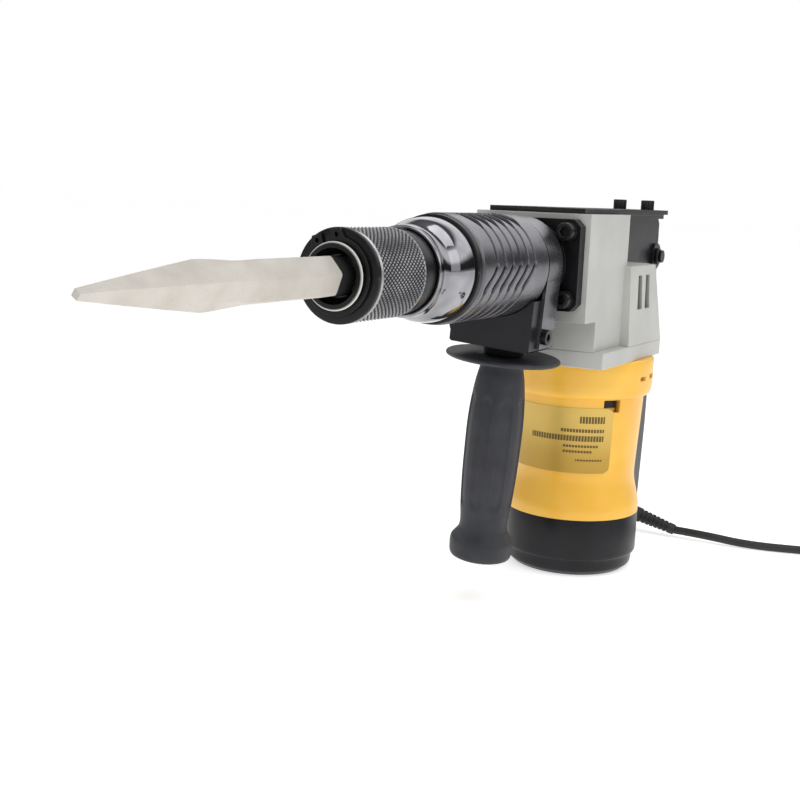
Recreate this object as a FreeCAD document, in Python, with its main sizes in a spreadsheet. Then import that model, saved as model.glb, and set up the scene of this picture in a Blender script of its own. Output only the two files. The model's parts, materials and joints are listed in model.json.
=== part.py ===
import FreeCAD, Part
import math
import os
import re

import Sketcher

# Demolition hammer with a 17 mm hexagon chisel, in millimetres.
# +X is the way the chisel points, +Y is the left side, +Z is up; the origin is the middle of the flat base,
# on the motor axis.

SIZES = {
    # overall
    "nose_fore": 300, "axis_up": 201, "base_high": 38, "tube_bore": 16, "tube_wall": 4,
    "tube_rad": "=tube_bore + tube_wall",
    # chisel and front end, measured back from the nose and out from the barrel axis
    "shank_flats": 17, "shank_turn": 11, "shank_in": 70, "shank_out": 62, "head_out": 91, "tip_out": 151,
    "head_half": 10, "tip_half": 2.1, "notch_from": 38, "notch_long": 22, "notch_deep": 3, "tool_play": 0.2,
    "holder_rad": 15.1, "holder_end": 66, "sleeve_play": 0.3, "spring_room": 3.3, "roller_rad": 4.5,
    "roller_long": 7, "roller_at": 43, "clip_from": 2.6, "clip_thick": 1.6, "clip_in": "=holder_rad - 0.9",
    "clip_out": "=holder_rad + 2.3", "washer_thick": 2.6, "chamber_rad": "=holder_rad + spring_room",
    "sleeve_wall": 2.8, "sleeve_rad": "=chamber_rad + sleeve_wall", "sleeve_from": 7.2, "sleeve_to": 47,
    "skirt_wall": 1.6, "skirt_rad": "=chamber_rad + skirt_wall", "skirt_to": 59.6, "bell_play": 0.4,
    "bell_bore": "=max(skirt_rad; tube_rad) + bell_play", "bell_from": 58.6, "bell_to": 88, "bell_wall": 5.6,
    "bell_rad": "=bell_bore + bell_wall", "ring_to": 92.4, "ring_rad": "=bell_rad + 1.3",
    # barrel
    "block_fore": 90, "flange_to": "=nose_fore - block_fore", "flange_thick": 8,
    "flange_from": "=flange_to - flange_thick", "barrel_wall": 5, "barrel_rad": "=tube_rad + barrel_wall",
    "cover_wall": 3, "cover_rad": "=barrel_rad + cover_wall", "screw_across": "=barrel_rad + 1",
    "screw_up": "=barrel_rad - 6", "flange_half": "=screw_across + 7", "flange_high": "=screw_up + 7",
    "cover_to": "=flange_from - 29", "groove_pitch": "=(cover_to - ring_to - 25.4) / 6",
    "tube_from": 96, "tube_to": "=flange_to + 4",
    # hammer mechanism
    "ram_play": 0.05, "ram_rad": "=tube_bore - ram_play", "bolt_rad": 7, "crank_fore": 36, "crank_throw": 6,
    "crank_pin": 4, "gear_module": 1.5, "gear_teeth": 40, "pinion_teeth": 8, "gear_low": 151, "gear_high": 161,
    "rod_long": 58, "pin_at": "=nose_fore - crank_fore - crank_throw - rod_long", "crank_rad": 13,
    "shaft_rad": 4, "bearing_play": 0.05,
    # grip clamp and side grip
    "clamp_to": "=flange_from - 7.7", "clamp_long": 28.7, "clamp_from": "=clamp_to - clamp_long",
    "clamp_half": "=barrel_rad - 0.5", "clamp_low": 46, "clamp_lean": 4, "clamp_play": 0.06,
    "grip_at": "=clamp_to - 6.7", "disc_low": 53.5, "disc_rad": 33, "grip_low": 174, "grip_rad": 15, "strap_thick": 2,
    # housings, heights from the floor
    "seam_up": 140, "gearbox_up": 150, "block_half": "=flange_half + 3", "block_rear": 25, "block_up": "=axis_up + 29",
    "chin_up": "=axis_up - 33", "hump_up": "=axis_up - 2", "hump_half": 42, "hump_rear": 47, "hump_top": 28,
    "wall": 3, "motor_rad": 43.5, "waist_rad": 39.6, "waist_up": 62, "body_up": 114, "collar_rad": 47,
    "collar_up": 118, "label_half": 54, "label_low": 68, "label_high": 110, "foot_rad": "=motor_rad - 2.5",
    "foot_up": 11,
    # rear handle
    "plate_fore": 85, "plate_rear": 110, "plate_half": 18, "plate_thick": 3, "grip_front": 78, "grip_back": 106,
    "handle_half": 13, "arm_low": "=axis_up - 9", "arm_up": "=axis_up + 26", "heel_low": 6, "heel_up": 30,
    "trigger_low": 72, "trigger_up": 106, "trigger_travel": 6, "button_travel": 3, "pivot_back": 96,
    # motor
    "core_rad": 23, "air_gap": 0.6, "field_in": "=core_rad + air_gap", "field_out": 36.5, "core_low": 58,
    "core_up": 98,
    # cord
    "cord_rad": 2.8, "plug_long": 42,
}

doc = FreeCAD.newDocument("demolition_hammer")
sheet = doc.addObject("Spreadsheet::Sheet", "dim")
for row, (alias, number) in enumerate(SIZES.items(), start=1):
    sheet.set(f"A{row}", alias)
    sheet.set(f"B{row}", str(number))
    sheet.setAlias(f"B{row}", alias)
doc.recompute()
WORDS = re.compile(r"\b(" + "|".join(sorted(SIZES, key=len, reverse=True)) + r")\b")
pieces = []


def linked(text):
    """Sheet names in an expression become links to the sheet."""
    return WORDS.sub(r"dim.\1", str(text))


def value(text):
    return float(sheet.evalExpression(linked(text)))


class Piece:
    """One separate piece: a body whose features are driven by the sheet."""

    def __init__(self, label, many=False):
        self.label = label
        self.body = doc.addObject("PartDesign::Body", label)
        self.body.Label = label
        self.body.AllowCompound = many
        self.made = 0
        pieces.append(self.body)

    def place(self, fore="0", left="0", up="0", turn=None, angle=0):
        if turn:
            self.body.Placement.Rotation = FreeCAD.Rotation(FreeCAD.Vector(*turn), angle)
        for axis, text in zip("xyz", (fore, left, up)):
            self.body.setExpression(f"Placement.Base.{axis}", linked(text))
        return self

    def at_nose(self, angle=0):
        return self.place("nose_fore", "0", "axis_up", (1, 0, 0), angle)

    def feature(self, kind):
        self.made += 1
        return self.body.newObject(f"PartDesign::{kind}", f"{self.label}_{kind}{self.made}")

    def sketch(self, role, offset="0"):
        self.made += 1
        drawn = self.body.newObject("Sketcher::SketchObject", f"{self.label}_sketch{self.made}")
        plane = [item for item in self.body.Origin.OriginFeatures if item.Role == f"{role}_Plane"][0]
        drawn.AttachmentSupport = [(plane, "")]
        drawn.MapMode = "FlatFace"
        sign = "-" if role == "XZ" else ""
        drawn.setExpression("AttachmentOffset.Base.z", linked(f"{sign}({offset})"))
        return drawn

    def outline(self, drawn, points):
        spots = [FreeCAD.Vector(value(a), value(b), 0) for a, b in points]
        first = drawn.GeometryCount
        count = len(spots)
        for index, spot in enumerate(spots):
            drawn.addGeometry(Part.LineSegment(spot, spots[(index + 1) % count]))
        rules = [Sketcher.Constraint("Coincident", first + i, 2, first + (i + 1) % count, 1) for i in range(count)]
        for index, spot in enumerate(spots):
            rules.append(Sketcher.Constraint("DistanceX", -1, 1, first + index, 1, spot.x))
            rules.append(Sketcher.Constraint("DistanceY", -1, 1, first + index, 1, spot.y))
        start = drawn.ConstraintCount
        drawn.addConstraint(rules)
        for index, (a, b) in enumerate(points):
            drawn.setExpression(f"Constraints[{start + count + 2 * index}]", linked(a))
            drawn.setExpression(f"Constraints[{start + count + 2 * index + 1}]", linked(b))
        return drawn

    def circles(self, drawn, rounds):
        for a, b, radius in rounds:
            centre = FreeCAD.Vector(value(a), value(b), 0)
            item = drawn.addGeometry(Part.Circle(centre, FreeCAD.Vector(0, 0, 1), value(radius)))
            start = drawn.ConstraintCount
            drawn.addConstraint([
                Sketcher.Constraint("DistanceX", -1, 1, item, 3, centre.x),
                Sketcher.Constraint("DistanceY", -1, 1, item, 3, centre.y),
                Sketcher.Constraint("Radius", item, value(radius)),
            ])
            for step, text in enumerate((a, b, radius)):
                drawn.setExpression(f"Constraints[{start + step}]", linked(text))
        return drawn

    def extrude(self, role, low, high, cut, points=(), rounds=()):
        drawn = self.sketch(role, f"(({low})+({high}))/2")
        for shape in points:
            self.outline(drawn, shape)
        self.circles(drawn, rounds)
        made = self.feature("Pocket" if cut else "Pad")
        made.Profile = drawn
        made.SideType = "Symmetric"
        made.setExpression("Length", linked(f"({high})-({low})"))
        return made

    def pad(self, role, points, low, high):
        self.extrude(role, low, high, False, points=[points])
        return self

    def cut(self, role, points, low, high):
        self.extrude(role, low, high, True, points=[points])
        return self

    def cuts(self, role, shapes, low, high):
        self.extrude(role, low, high, True, points=shapes)
        return self

    def disc(self, role, rounds, low, high):
        self.extrude(role, low, high, False, rounds=rounds)
        return self

    def bore(self, role, rounds, low, high):
        self.extrude(role, low, high, True, rounds=rounds)
        return self

    def spin(self, role, points, line, cut=False, angle=360):
        drawn = self.outline(self.sketch(role), points)
        made = self.feature("Groove" if cut else "Revolution")
        made.Profile = drawn
        made.ReferenceAxis = (drawn, [line])
        made.Angle = angle
        made.Midplane = angle != 360
        return self

    def turned(self, points):
        """Turned about the barrel axis from (distance behind the nose, radius) pairs."""
        return self.spin("XY", [(f"-({a})", b) for a, b in points], "H_Axis")

    def groove(self, points):
        return self.spin("XY", [(f"-({a})", b) for a, b in points], "H_Axis", cut=True)

    def upright(self, points, cut=False):
        """Turned about the body's own upright axis from (radius, height) pairs."""
        return self.spin("XZ", points, "V_Axis", cut=cut)

    def loft(self, role, sections, ruled=True):
        drawn = [self.outline(self.sketch(role, place), points) for place, points in sections]
        doc.recompute()
        made = self.feature("AdditiveLoft")
        made.Profile = drawn[0]
        made.Sections = drawn[1:]
        made.Ruled = ruled
        return self

    def polar(self, line, count):
        source = self.body.Tip
        made = self.feature("PolarPattern")
        made.Originals = [source]
        made.Axis = (source.Profile[0], [line])
        made.Angle = 360
        made.Occurrences = count
        self.body.Tip = made
        return self

    def fillet(self, radius, choose):
        doc.recompute()
        tip = self.body.Tip
        names = [f"Edge{i}" for i, edge in enumerate(tip.Shape.Edges, start=1) if choose(edge)]
        made = self.feature("Fillet")
        made.Base = (tip, names)
        made.setExpression("Radius", linked(radius))
        return self


def box(x_low, x_high, y_low, y_high):
    return [(x_low, y_low), (x_high, y_low), (x_high, y_high), (x_low, y_high)]


def polygon(count, radius, start=0.0, x_mid="0", y_mid="0"):
    spots = []
    for index in range(count):
        angle = math.radians(start + 360 * index / count)
        spots.append((f"{x_mid}+({radius})*({math.cos(angle):.8f})", f"{y_mid}+({radius})*({math.sin(angle):.8f})"))
    return spots


def tube(piece, start, end, outer, inner):
    return piece.turned([(start, inner), (start, outer), (end, outer), (end, inner)])


# ---- chisel and tool holder -------------------------------------------------------------------------------------
POINT = "shank_flats / 1.7320508"


def make_chisel():
    chisel = Piece("chisel").at_nose(value("shank_turn"))
    chisel.pad("YZ", polygon(6, POINT), "-shank_in", "shank_out")
    sections = [
        ("shank_out - 4", polygon(4, "head_half * 0.7")),
        ("head_out", polygon(4, "head_half")),
        ("tip_out", polygon(4, "tip_half")),
    ]
    chisel.loft("YZ", sections)
    chisel.cut("XZ", box("-notch_from - notch_long", "-notch_from", "shank_flats / 2 - notch_deep",
                         "shank_flats / 2 + 3"), "-10", "10")
    return chisel


def make_holder():
    holder = Piece("tool_holder").at_nose(value("shank_turn"))
    holder.turned([
        (0, 0), (0, "holder_rad - 1"), (1, "holder_rad"), ("clip_from", "holder_rad"), ("clip_from", "clip_in"),
        ("clip_from + clip_thick", "clip_in"), ("clip_from + clip_thick", "holder_rad"), ("holder_end", "holder_rad"),
        ("holder_end", "tube_rad"), ("tube_from", "tube_rad"), ("tube_from", 0),
    ])
    holder.cut("YZ", polygon(6, "(shank_flats + tool_play * 2) / 1.7320508"), "-shank_in - 2", "5")
    holder.groove([("shank_in - 1", 0), ("shank_in - 1", "bolt_rad + 0.05"), (83, "bolt_rad + 0.05"),
                   (83, 12.05), ("tube_from + 1", 12.05), ("tube_from + 1", 0)])
    holder.cut("XZ", box("-roller_at - roller_rad - 0.05", "-roller_at + roller_rad + 0.05", "5", "25"),
               "-roller_long / 2 - 0.1", "roller_long / 2 + 0.1")
    holder.groove([(-1, 0), (-1, 12.2), (2.4, 12.2), (5, 9.6), (5, 0)])
    return holder


def make_front():
    roller = Piece("retaining_roller").at_nose(value("shank_turn"))
    roller.disc("XZ", [("-roller_at", "shank_flats / 2 - notch_deep + roller_rad + 0.2", "roller_rad")],
                "-roller_long / 2", "roller_long / 2")
    clip = Piece("holder_circlip").at_nose()
    tube(clip, "clip_from + 0.05", "clip_from + clip_thick", "clip_out", "clip_in")
    clip.pad("YZ", [("-9", "clip_out - 3"), ("9", "clip_out - 3"), ("7.5", "clip_out + 2.4"),
                    ("-7.5", "clip_out + 2.4")], "-clip_from - clip_thick", "-clip_from - 0.05")
    clip.cut("YZ", box("-2.6", "2.6", "clip_in - 2", "clip_out + 5"), "-clip_from - clip_thick", "-clip_from")
    clip.bore("YZ", [("-5.2", "clip_out - 0.2", "1.1"), ("5.2", "clip_out - 0.2", "1.1"), ("0", "0", "clip_in")],
              "-clip_from - clip_thick", "-clip_from")
    clip.body.Placement.Rotation = FreeCAD.Rotation(FreeCAD.Vector(1, 0, 0), 17)
    washer = Piece("sleeve_washer").at_nose()
    washer_from = "clip_from + clip_thick"
    washer.turned([(washer_from, "holder_rad"), (washer_from, "sleeve_rad - 0.6"), (f"{washer_from} + 0.6",
                   "sleeve_rad"), (f"{washer_from} + washer_thick", "sleeve_rad"),
                   (f"{washer_from} + washer_thick", "holder_rad")])
    sleeve = Piece("knurled_sleeve").at_nose()
    sleeve.turned([
        ("sleeve_from", "holder_rad + sleeve_play"), ("sleeve_from", "sleeve_rad - 0.8"),
        ("sleeve_from + 0.8", "sleeve_rad"), ("sleeve_to - 0.8", "sleeve_rad"), ("sleeve_to", "sleeve_rad - 0.8"),
        ("sleeve_to", "chamber_rad"), (18, "chamber_rad"), (18, "holder_rad + sleeve_play"),
    ])
    skirt = Piece("sleeve_skirt").at_nose()
    tube(skirt, "sleeve_to", "skirt_to", "skirt_rad", "chamber_rad")
    bell = Piece("front_bell").at_nose()
    bell.turned([
        ("bell_from", "bell_bore"), ("bell_from", "bell_bore + 1.3"), (62, "bell_bore + 0.9"),
        (66, "bell_bore + 0.8"), (69, "bell_bore + 1.4"), (72, "bell_rad - 2.4"), (76, "bell_rad - 0.9"),
        (81, "bell_rad"), ("bell_to", "bell_rad"), ("bell_to", "tube_rad"), (72, "tube_rad"),
        (72, "bell_bore"),
    ])
    ring = Piece("bell_ring").at_nose()
    tube(ring, "bell_to", "ring_to", "ring_rad", "tube_rad")
    return sleeve


def make_spring():
    """Coil spring between the sleeve's shoulder and the holder's shoulder."""
    wire_rad = 1.1
    mean = (value("holder_rad") + value("chamber_rad")) / 2
    length = value("holder_end") - 18 - 2 * wire_rad - 0.4
    helix = Part.makeHelix(length / 5, length, mean)
    ring = Part.Wire(Part.makeCircle(wire_rad, FreeCAD.Vector(mean, 0, 0), FreeCAD.Vector(0, 1, 0)))
    coil = Part.Wire(helix).makePipeShell([ring], True, True)
    spring = doc.addObject("Part::Feature", "sleeve_spring")
    spring.Shape = coil
    spring.Placement = FreeCAD.Placement(
        FreeCAD.Vector(value("nose_fore") - 18 - wire_rad - 0.2, 0, value("axis_up")),
        FreeCAD.Rotation(FreeCAD.Vector(0, 1, 0), -90))
    pieces.append(spring)


# ---- barrel ----------------------------------------------------------------------------------------------------
def make_barrel():
    barrel = Piece("barrel").at_nose()
    barrel.turned([
        ("ring_to", "tube_rad"), ("ring_to", "barrel_rad"), ("flange_from", "barrel_rad"),
        ("flange_to", "barrel_rad"), ("flange_to", "tube_rad"),
    ])
    barrel.pad("YZ", [("-flange_half", "-flange_high + 4"), ("-flange_half + 4", "-flange_high"),
                      ("flange_half - 4", "-flange_high"), ("flange_half", "-flange_high + 4"),
                      ("flange_half", "flange_high - 4"), ("flange_half - 4", "flange_high"),
                      ("-flange_half + 4", "flange_high"), ("-flange_half", "flange_high - 4")],
               "-flange_to", "-flange_from")
    barrel.bore("YZ", [("0", "0", "tube_rad")], "-flange_to - 1", "-flange_from + 1")
    corners = [(f"{a}screw_across", f"{b}screw_up") for a in ("", "-") for b in ("", "-")]
    barrel.bore("YZ", [(a, b, "3.1") for a, b in corners], "-flange_to - 1", "-flange_from + 1")
    cover = Piece("barrel_cover").at_nose()
    shape = [("ring_to", "barrel_rad"), ("ring_to", "cover_rad - 0.5"), (94, "cover_rad"), (104, "cover_rad")]
    for index in range(6):
        at = f"ring_to + 13.6 + groove_pitch * {index}"
        shape += [(at, "cover_rad"), (f"{at} + 0.8", "cover_rad - 1.6"), (f"{at} + 2.6", "cover_rad - 1.6"),
                  (f"{at} + 3.4", "cover_rad")]
    cover.turned(shape + [("cover_to", "cover_rad"), ("cover_to", "barrel_rad")])
    washers = Piece("flange_washers", many=True).at_nose()
    washers.disc("YZ", [(a, b, "5.2") for a, b in corners], "-flange_from", "-flange_from + 1.4")
    washers.bore("YZ", [(a, b, "3.1") for a, b in corners], "-flange_from - 1", "-flange_from + 2")
    screws = Piece("flange_screws", many=True).at_nose()
    screws.disc("YZ", [(a, b, "5") for a, b in corners], "-flange_from + 1.4", "-flange_from + 7.4")
    screws.disc("YZ", [(a, b, "3") for a, b in corners], "-flange_to - 12", "-flange_from + 3")
    screws.cuts("YZ", [polygon(6, "2.9", 0, a, b) for a, b in corners], "-flange_from + 4.4", "-flange_from + 9")


# ---- hammer mechanism -------------------------------------------------------------------------------------------
def make_mechanism():
    cylinder = Piece("hammer_cylinder").at_nose()
    tube(cylinder, "tube_from", "tube_to", "tube_rad", "tube_bore")
    bolt = Piece("impact_bolt").at_nose()
    bolt.turned([(75, 0), (75, "bolt_rad - 1"), (76, "bolt_rad"), (86, "bolt_rad"), (86, 12), (92, 12),
                 (92, "bolt_rad"), (98, "bolt_rad"), (98, 0)])
    striker = Piece("striker").at_nose()
    striker.turned([("pin_at - 88", 0), ("pin_at - 88", "bolt_rad"), ("pin_at - 78", "bolt_rad"),
                    ("pin_at - 78", "ram_rad"), ("pin_at - 50", "ram_rad"), ("pin_at - 50", 0)])
    piston = Piece("piston").at_nose()
    hollow = "ram_rad - 2.35"
    piston.turned([("pin_at - 30", 0), ("pin_at - 30", "ram_rad"), ("pin_at + 8", "ram_rad"), ("pin_at + 8", hollow),
                   ("pin_at - 21", hollow), ("pin_at - 21", 0)])
    rod = Piece("connecting_rod").place("crank_fore + crank_throw", "0", "axis_up")
    rod.pad("XY", box("0", "rod_long", "-3.5", "3.5"), "-3.5", "3.5")
    rod.disc("XY", [("0", "0", "8")], "-5", "5")
    rod.disc("XY", [("rod_long", "0", "6")], "-4.5", "4.5")
    rod.bore("XY", [("0", "0", "crank_pin + bearing_play"), ("rod_long", "0", "2.5")], "-8", "8")
    pin = Piece("piston_pin").place("crank_fore + crank_throw + rod_long", "0", "axis_up")
    pin.disc("XY", [("0", "0", "2.5")], "-8.5", "8.5")
    shaft = Piece("crankshaft").place("crank_fore", "0", "0")
    shaft.upright([(0, 143), (5, 143), (5, "gear_low"), (6, "gear_low"), (6, "axis_up - 21"),
                   ("crank_rad", "axis_up - 21"), ("crank_rad", "axis_up - 12"), (0, "axis_up - 12")])
    shaft.disc("XY", [("crank_throw", "0", "crank_pin")], "axis_up - 13", "axis_up + 7")
    gear = Piece("crank_gear").place("crank_fore", "0", "0")
    radius = "gear_module * gear_teeth / 2"
    gear.disc("XY", [("0", "0", f"{radius} - gear_module * 1.25")], "gear_low", "gear_high")
    gear.pad("XY", tooth(radius), "gear_low", "gear_high")
    gear.polar("N_Axis", int(value("gear_teeth")))
    gear.bore("XY", [("0", "0", "6")] + [(a, b, "5") for a, b in polygon(6, "16")], "gear_low - 2", "gear_high + 2")
    bearing = Piece("crank_bearings", many=True).place("crank_fore", "0", "0")
    bearing.disc("XY", [("0", "0", "11")], "167", "175")
    bearing.bore("XY", [("0", "0", "6 + bearing_play")], "166", "176")
    bearing.disc("XY", [("0", "0", "9.5")], "143", "149")
    bearing.bore("XY", [("0", "0", "5 + bearing_play")], "142", "150")


def tooth(radius):
    """Straight-sided tooth on the +X side of a gear whose pitch radius is given."""
    root = f"{radius} - gear_module * 1.6"
    tip = f"{radius} + gear_module * 0.7"
    return [(root, "-gear_module * 0.95"), (radius, "-gear_module * 0.62"), (tip, "-gear_module * 0.3"),
            (tip, "gear_module * 0.3"), (radius, "gear_module * 0.62"), (root, "gear_module * 0.95")]


# ---- housings --------------------------------------------------------------------------------------------------
def chamfered(x_low, x_high, half, corner):
    """Rectangle with cut corners at its rear end, symmetric about the middle."""
    return [(x_high, f"-({half})"), (x_high, f"({half})"), (f"({x_low})+({corner})", f"({half})"),
            (x_low, f"({half})-({corner})"), (x_low, f"-(({half})-({corner}))"),
            (f"({x_low})+({corner})", f"-({half})")]


def make_housings():
    gearbox = Piece("crank_housing")
    gearbox.pad("XZ", [("block_fore", "chin_up"), ("block_fore", "block_up"), ("block_rear", "block_up"),
                       ("block_rear", "gearbox_up"), ("block_fore - 17", "gearbox_up"),
                       ("block_fore - 17", "chin_up")], "-block_half", "block_half")
    gearbox.loft("XY", [("gearbox_up", chamfered("-hump_rear", "block_rear + 4", "hump_half", "14")),
                        ("hump_up", chamfered("-hump_top", "block_rear + 4", "hump_half - 2", "10"))])
    gearbox.pad("XY", box("17", "block_rear + 4", "-18", "18"), "gearbox_up + 10", "block_up - 4")
    gearbox.cut("XY", box("20", "block_fore - 4", "-15.5", "15.5"), "axis_up - 24", "block_up - 7")
    gearbox.cut("XY", box("block_rear + 4", "block_fore - 4", "-block_half + wall", "block_half - wall"),
                "axis_up - 24", "block_up - wall - 1")
    gearbox.cut("XY", box("-36", "block_fore - 20", "-block_half + 3.5", "block_half - 3.5"),
                "gearbox_up - 1", "165")
    gearbox.cut("XY", box("-22", "13", "-hump_half + 6", "hump_half - 6"), "gearbox_up - 1", "hump_up - 6")
    gearbox.bore("XY", [("crank_fore", "0", "11")], "164", "axis_up - 23")
    gearbox.bore("YZ", [("0", "axis_up", "tube_rad")], "block_fore - 6", "block_fore + 2")
    gearbox.bore("YZ", [(f"{a}screw_across", f"axis_up {b} screw_up", "3") for a in ("", "-") for b in "+-"],
                 "block_fore - 12", "block_fore + 1")
    vents = [[(f"{x}", "172"), (f"{x + 9}", "172"), (f"{x + 8}", "193"), (f"{x + 1}", "193")] for x in (-8, 6)]
    gearbox.cuts("XZ", vents, "-60", "-hump_half + 8")
    gearbox.cuts("XZ", vents, "hump_half - 8", "60")
    plate = Piece("gearbox_plate")
    plate.pad("XY", chamfered("-hump_rear", "block_fore - 17", "hump_half", "14"), "seam_up", "gearbox_up")
    plate.bore("XY", [("0", "0", "9.5"), ("crank_fore", "0", "9.5")], "143", "gearbox_up + 1")
    plate.bore("XY", [("0", "0", "8")], "seam_up - 1", "gearbox_up + 1")
    motor = Piece("motor_housing")
    motor.upright([
        (0, "base_high"), ("motor_rad", "base_high"), ("motor_rad", "base_high + 6"),
        ("motor_rad - 2.4", "waist_up - 10"), ("waist_rad", "waist_up"), ("waist_rad + 2.2", "body_up"),
        ("collar_rad - 2", "collar_up"), ("collar_rad", "collar_up + 6"), ("collar_rad", "seam_up"), (0, "seam_up"),
    ])
    motor.upright([
        (0, "base_high - 1"), ("motor_rad - wall - 1", "base_high - 1"), ("waist_rad - wall", "waist_up"),
        ("waist_rad - wall + 1.5", "body_up"), ("collar_rad - wall - 5", "seam_up - 4"), (0, "seam_up - 4"),
    ], cut=True)
    motor.bore("XY", [("0", "0", "13")], "seam_up - 6", "seam_up + 1")
    label = Piece("rating_label")
    low = "waist_rad + (label_low - waist_up) * 2.2 / (body_up - waist_up)"
    high = "waist_rad + (label_high - waist_up) * 2.2 / (body_up - waist_up)"
    label.spin("XZ", [(low, "label_low"), (f"{low} + 0.3", "label_low"), (f"{high} + 0.3", "label_high"),
                      (high, "label_high")], "V_Axis", angle=2 * value("label_half"))
    cap = Piece("base_cap")
    cap.upright([(0, 0), ("foot_rad - 5", 0), ("foot_rad - 1.5", 1.6), ("foot_rad", 5), ("foot_rad", "foot_up - 1"),
                 ("motor_rad - 1", "foot_up"), ("motor_rad", "foot_up + 2"), ("motor_rad", "base_high"),
                 (0, "base_high")])
    cap.upright([(0, 5), ("foot_rad - 6", 5), ("motor_rad - wall - 1", "foot_up + 3"),
                 ("motor_rad - wall - 1", "base_high + 1"), (0, "base_high + 1")], cut=True)
    cap.disc("XY", [("0", "0", "14")], "4", "22")
    cap.bore("XY", [("0", "0", "9.5")], "14", "23")


# ---- motor -----------------------------------------------------------------------------------------------------
def make_motor():
    shaft = Piece("armature_shaft")
    shaft.upright([(0, 15), ("shaft_rad", 15), ("shaft_rad", "gear_low - 1"), (0, "gear_low - 1")])
    radius = "gear_module * pinion_teeth / 2"
    shaft.disc("XY", [("0", "0", f"{radius} - gear_module * 1.25")], "gear_low - 2", "gear_high")
    shaft.pad("XY", tooth(radius), "gear_low", "gear_high")
    shaft.polar("N_Axis", int(value("pinion_teeth")))
    shaft.body.Placement.Rotation = FreeCAD.Rotation(FreeCAD.Vector(0, 0, 1), 180 / value("pinion_teeth"))
    core = Piece("armature_core")
    core.upright([("shaft_rad", "core_low"), ("core_rad", "core_low"), ("core_rad", "core_up"),
                  ("shaft_rad", "core_up")])
    commutator = Piece("commutator")
    commutator.upright([("shaft_rad", 32), (14, 32), (14, 50), ("shaft_rad", 50)])
    fan = Piece("cooling_fan")
    fan.upright([("shaft_rad", 112), (32, 112), (32, 114), (10, 116), (10, 124), ("shaft_rad", 124)])
    fan.pad("XZ", box("9", "31", "113", "122"), "-0.8", "0.8")
    bearings = Piece("armature_bearings", many=True)
    bearings.disc("XY", [("0", "0", "9.5")], "15", "21")
    bearings.bore("XY", [("0", "0", "shaft_rad + bearing_play")], "14", "22")
    bearings.disc("XY", [("0", "0", "9.5")], "143", "149")
    bearings.bore("XY", [("0", "0", "shaft_rad + bearing_play")], "142", "150")
    field = Piece("field_core")
    field.upright([("field_in", "core_low"), ("field_out", "core_low"), ("field_out", "core_up"),
                   ("field_in", "core_up")])


# ---- grip clamp and side grip -----------------------------------------------------------------------------------
def clamp_frame(piece):
    return piece.place("nose_fore - grip_at", "0", "axis_up", (1, 0, 0), -value("clamp_lean"))


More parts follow.
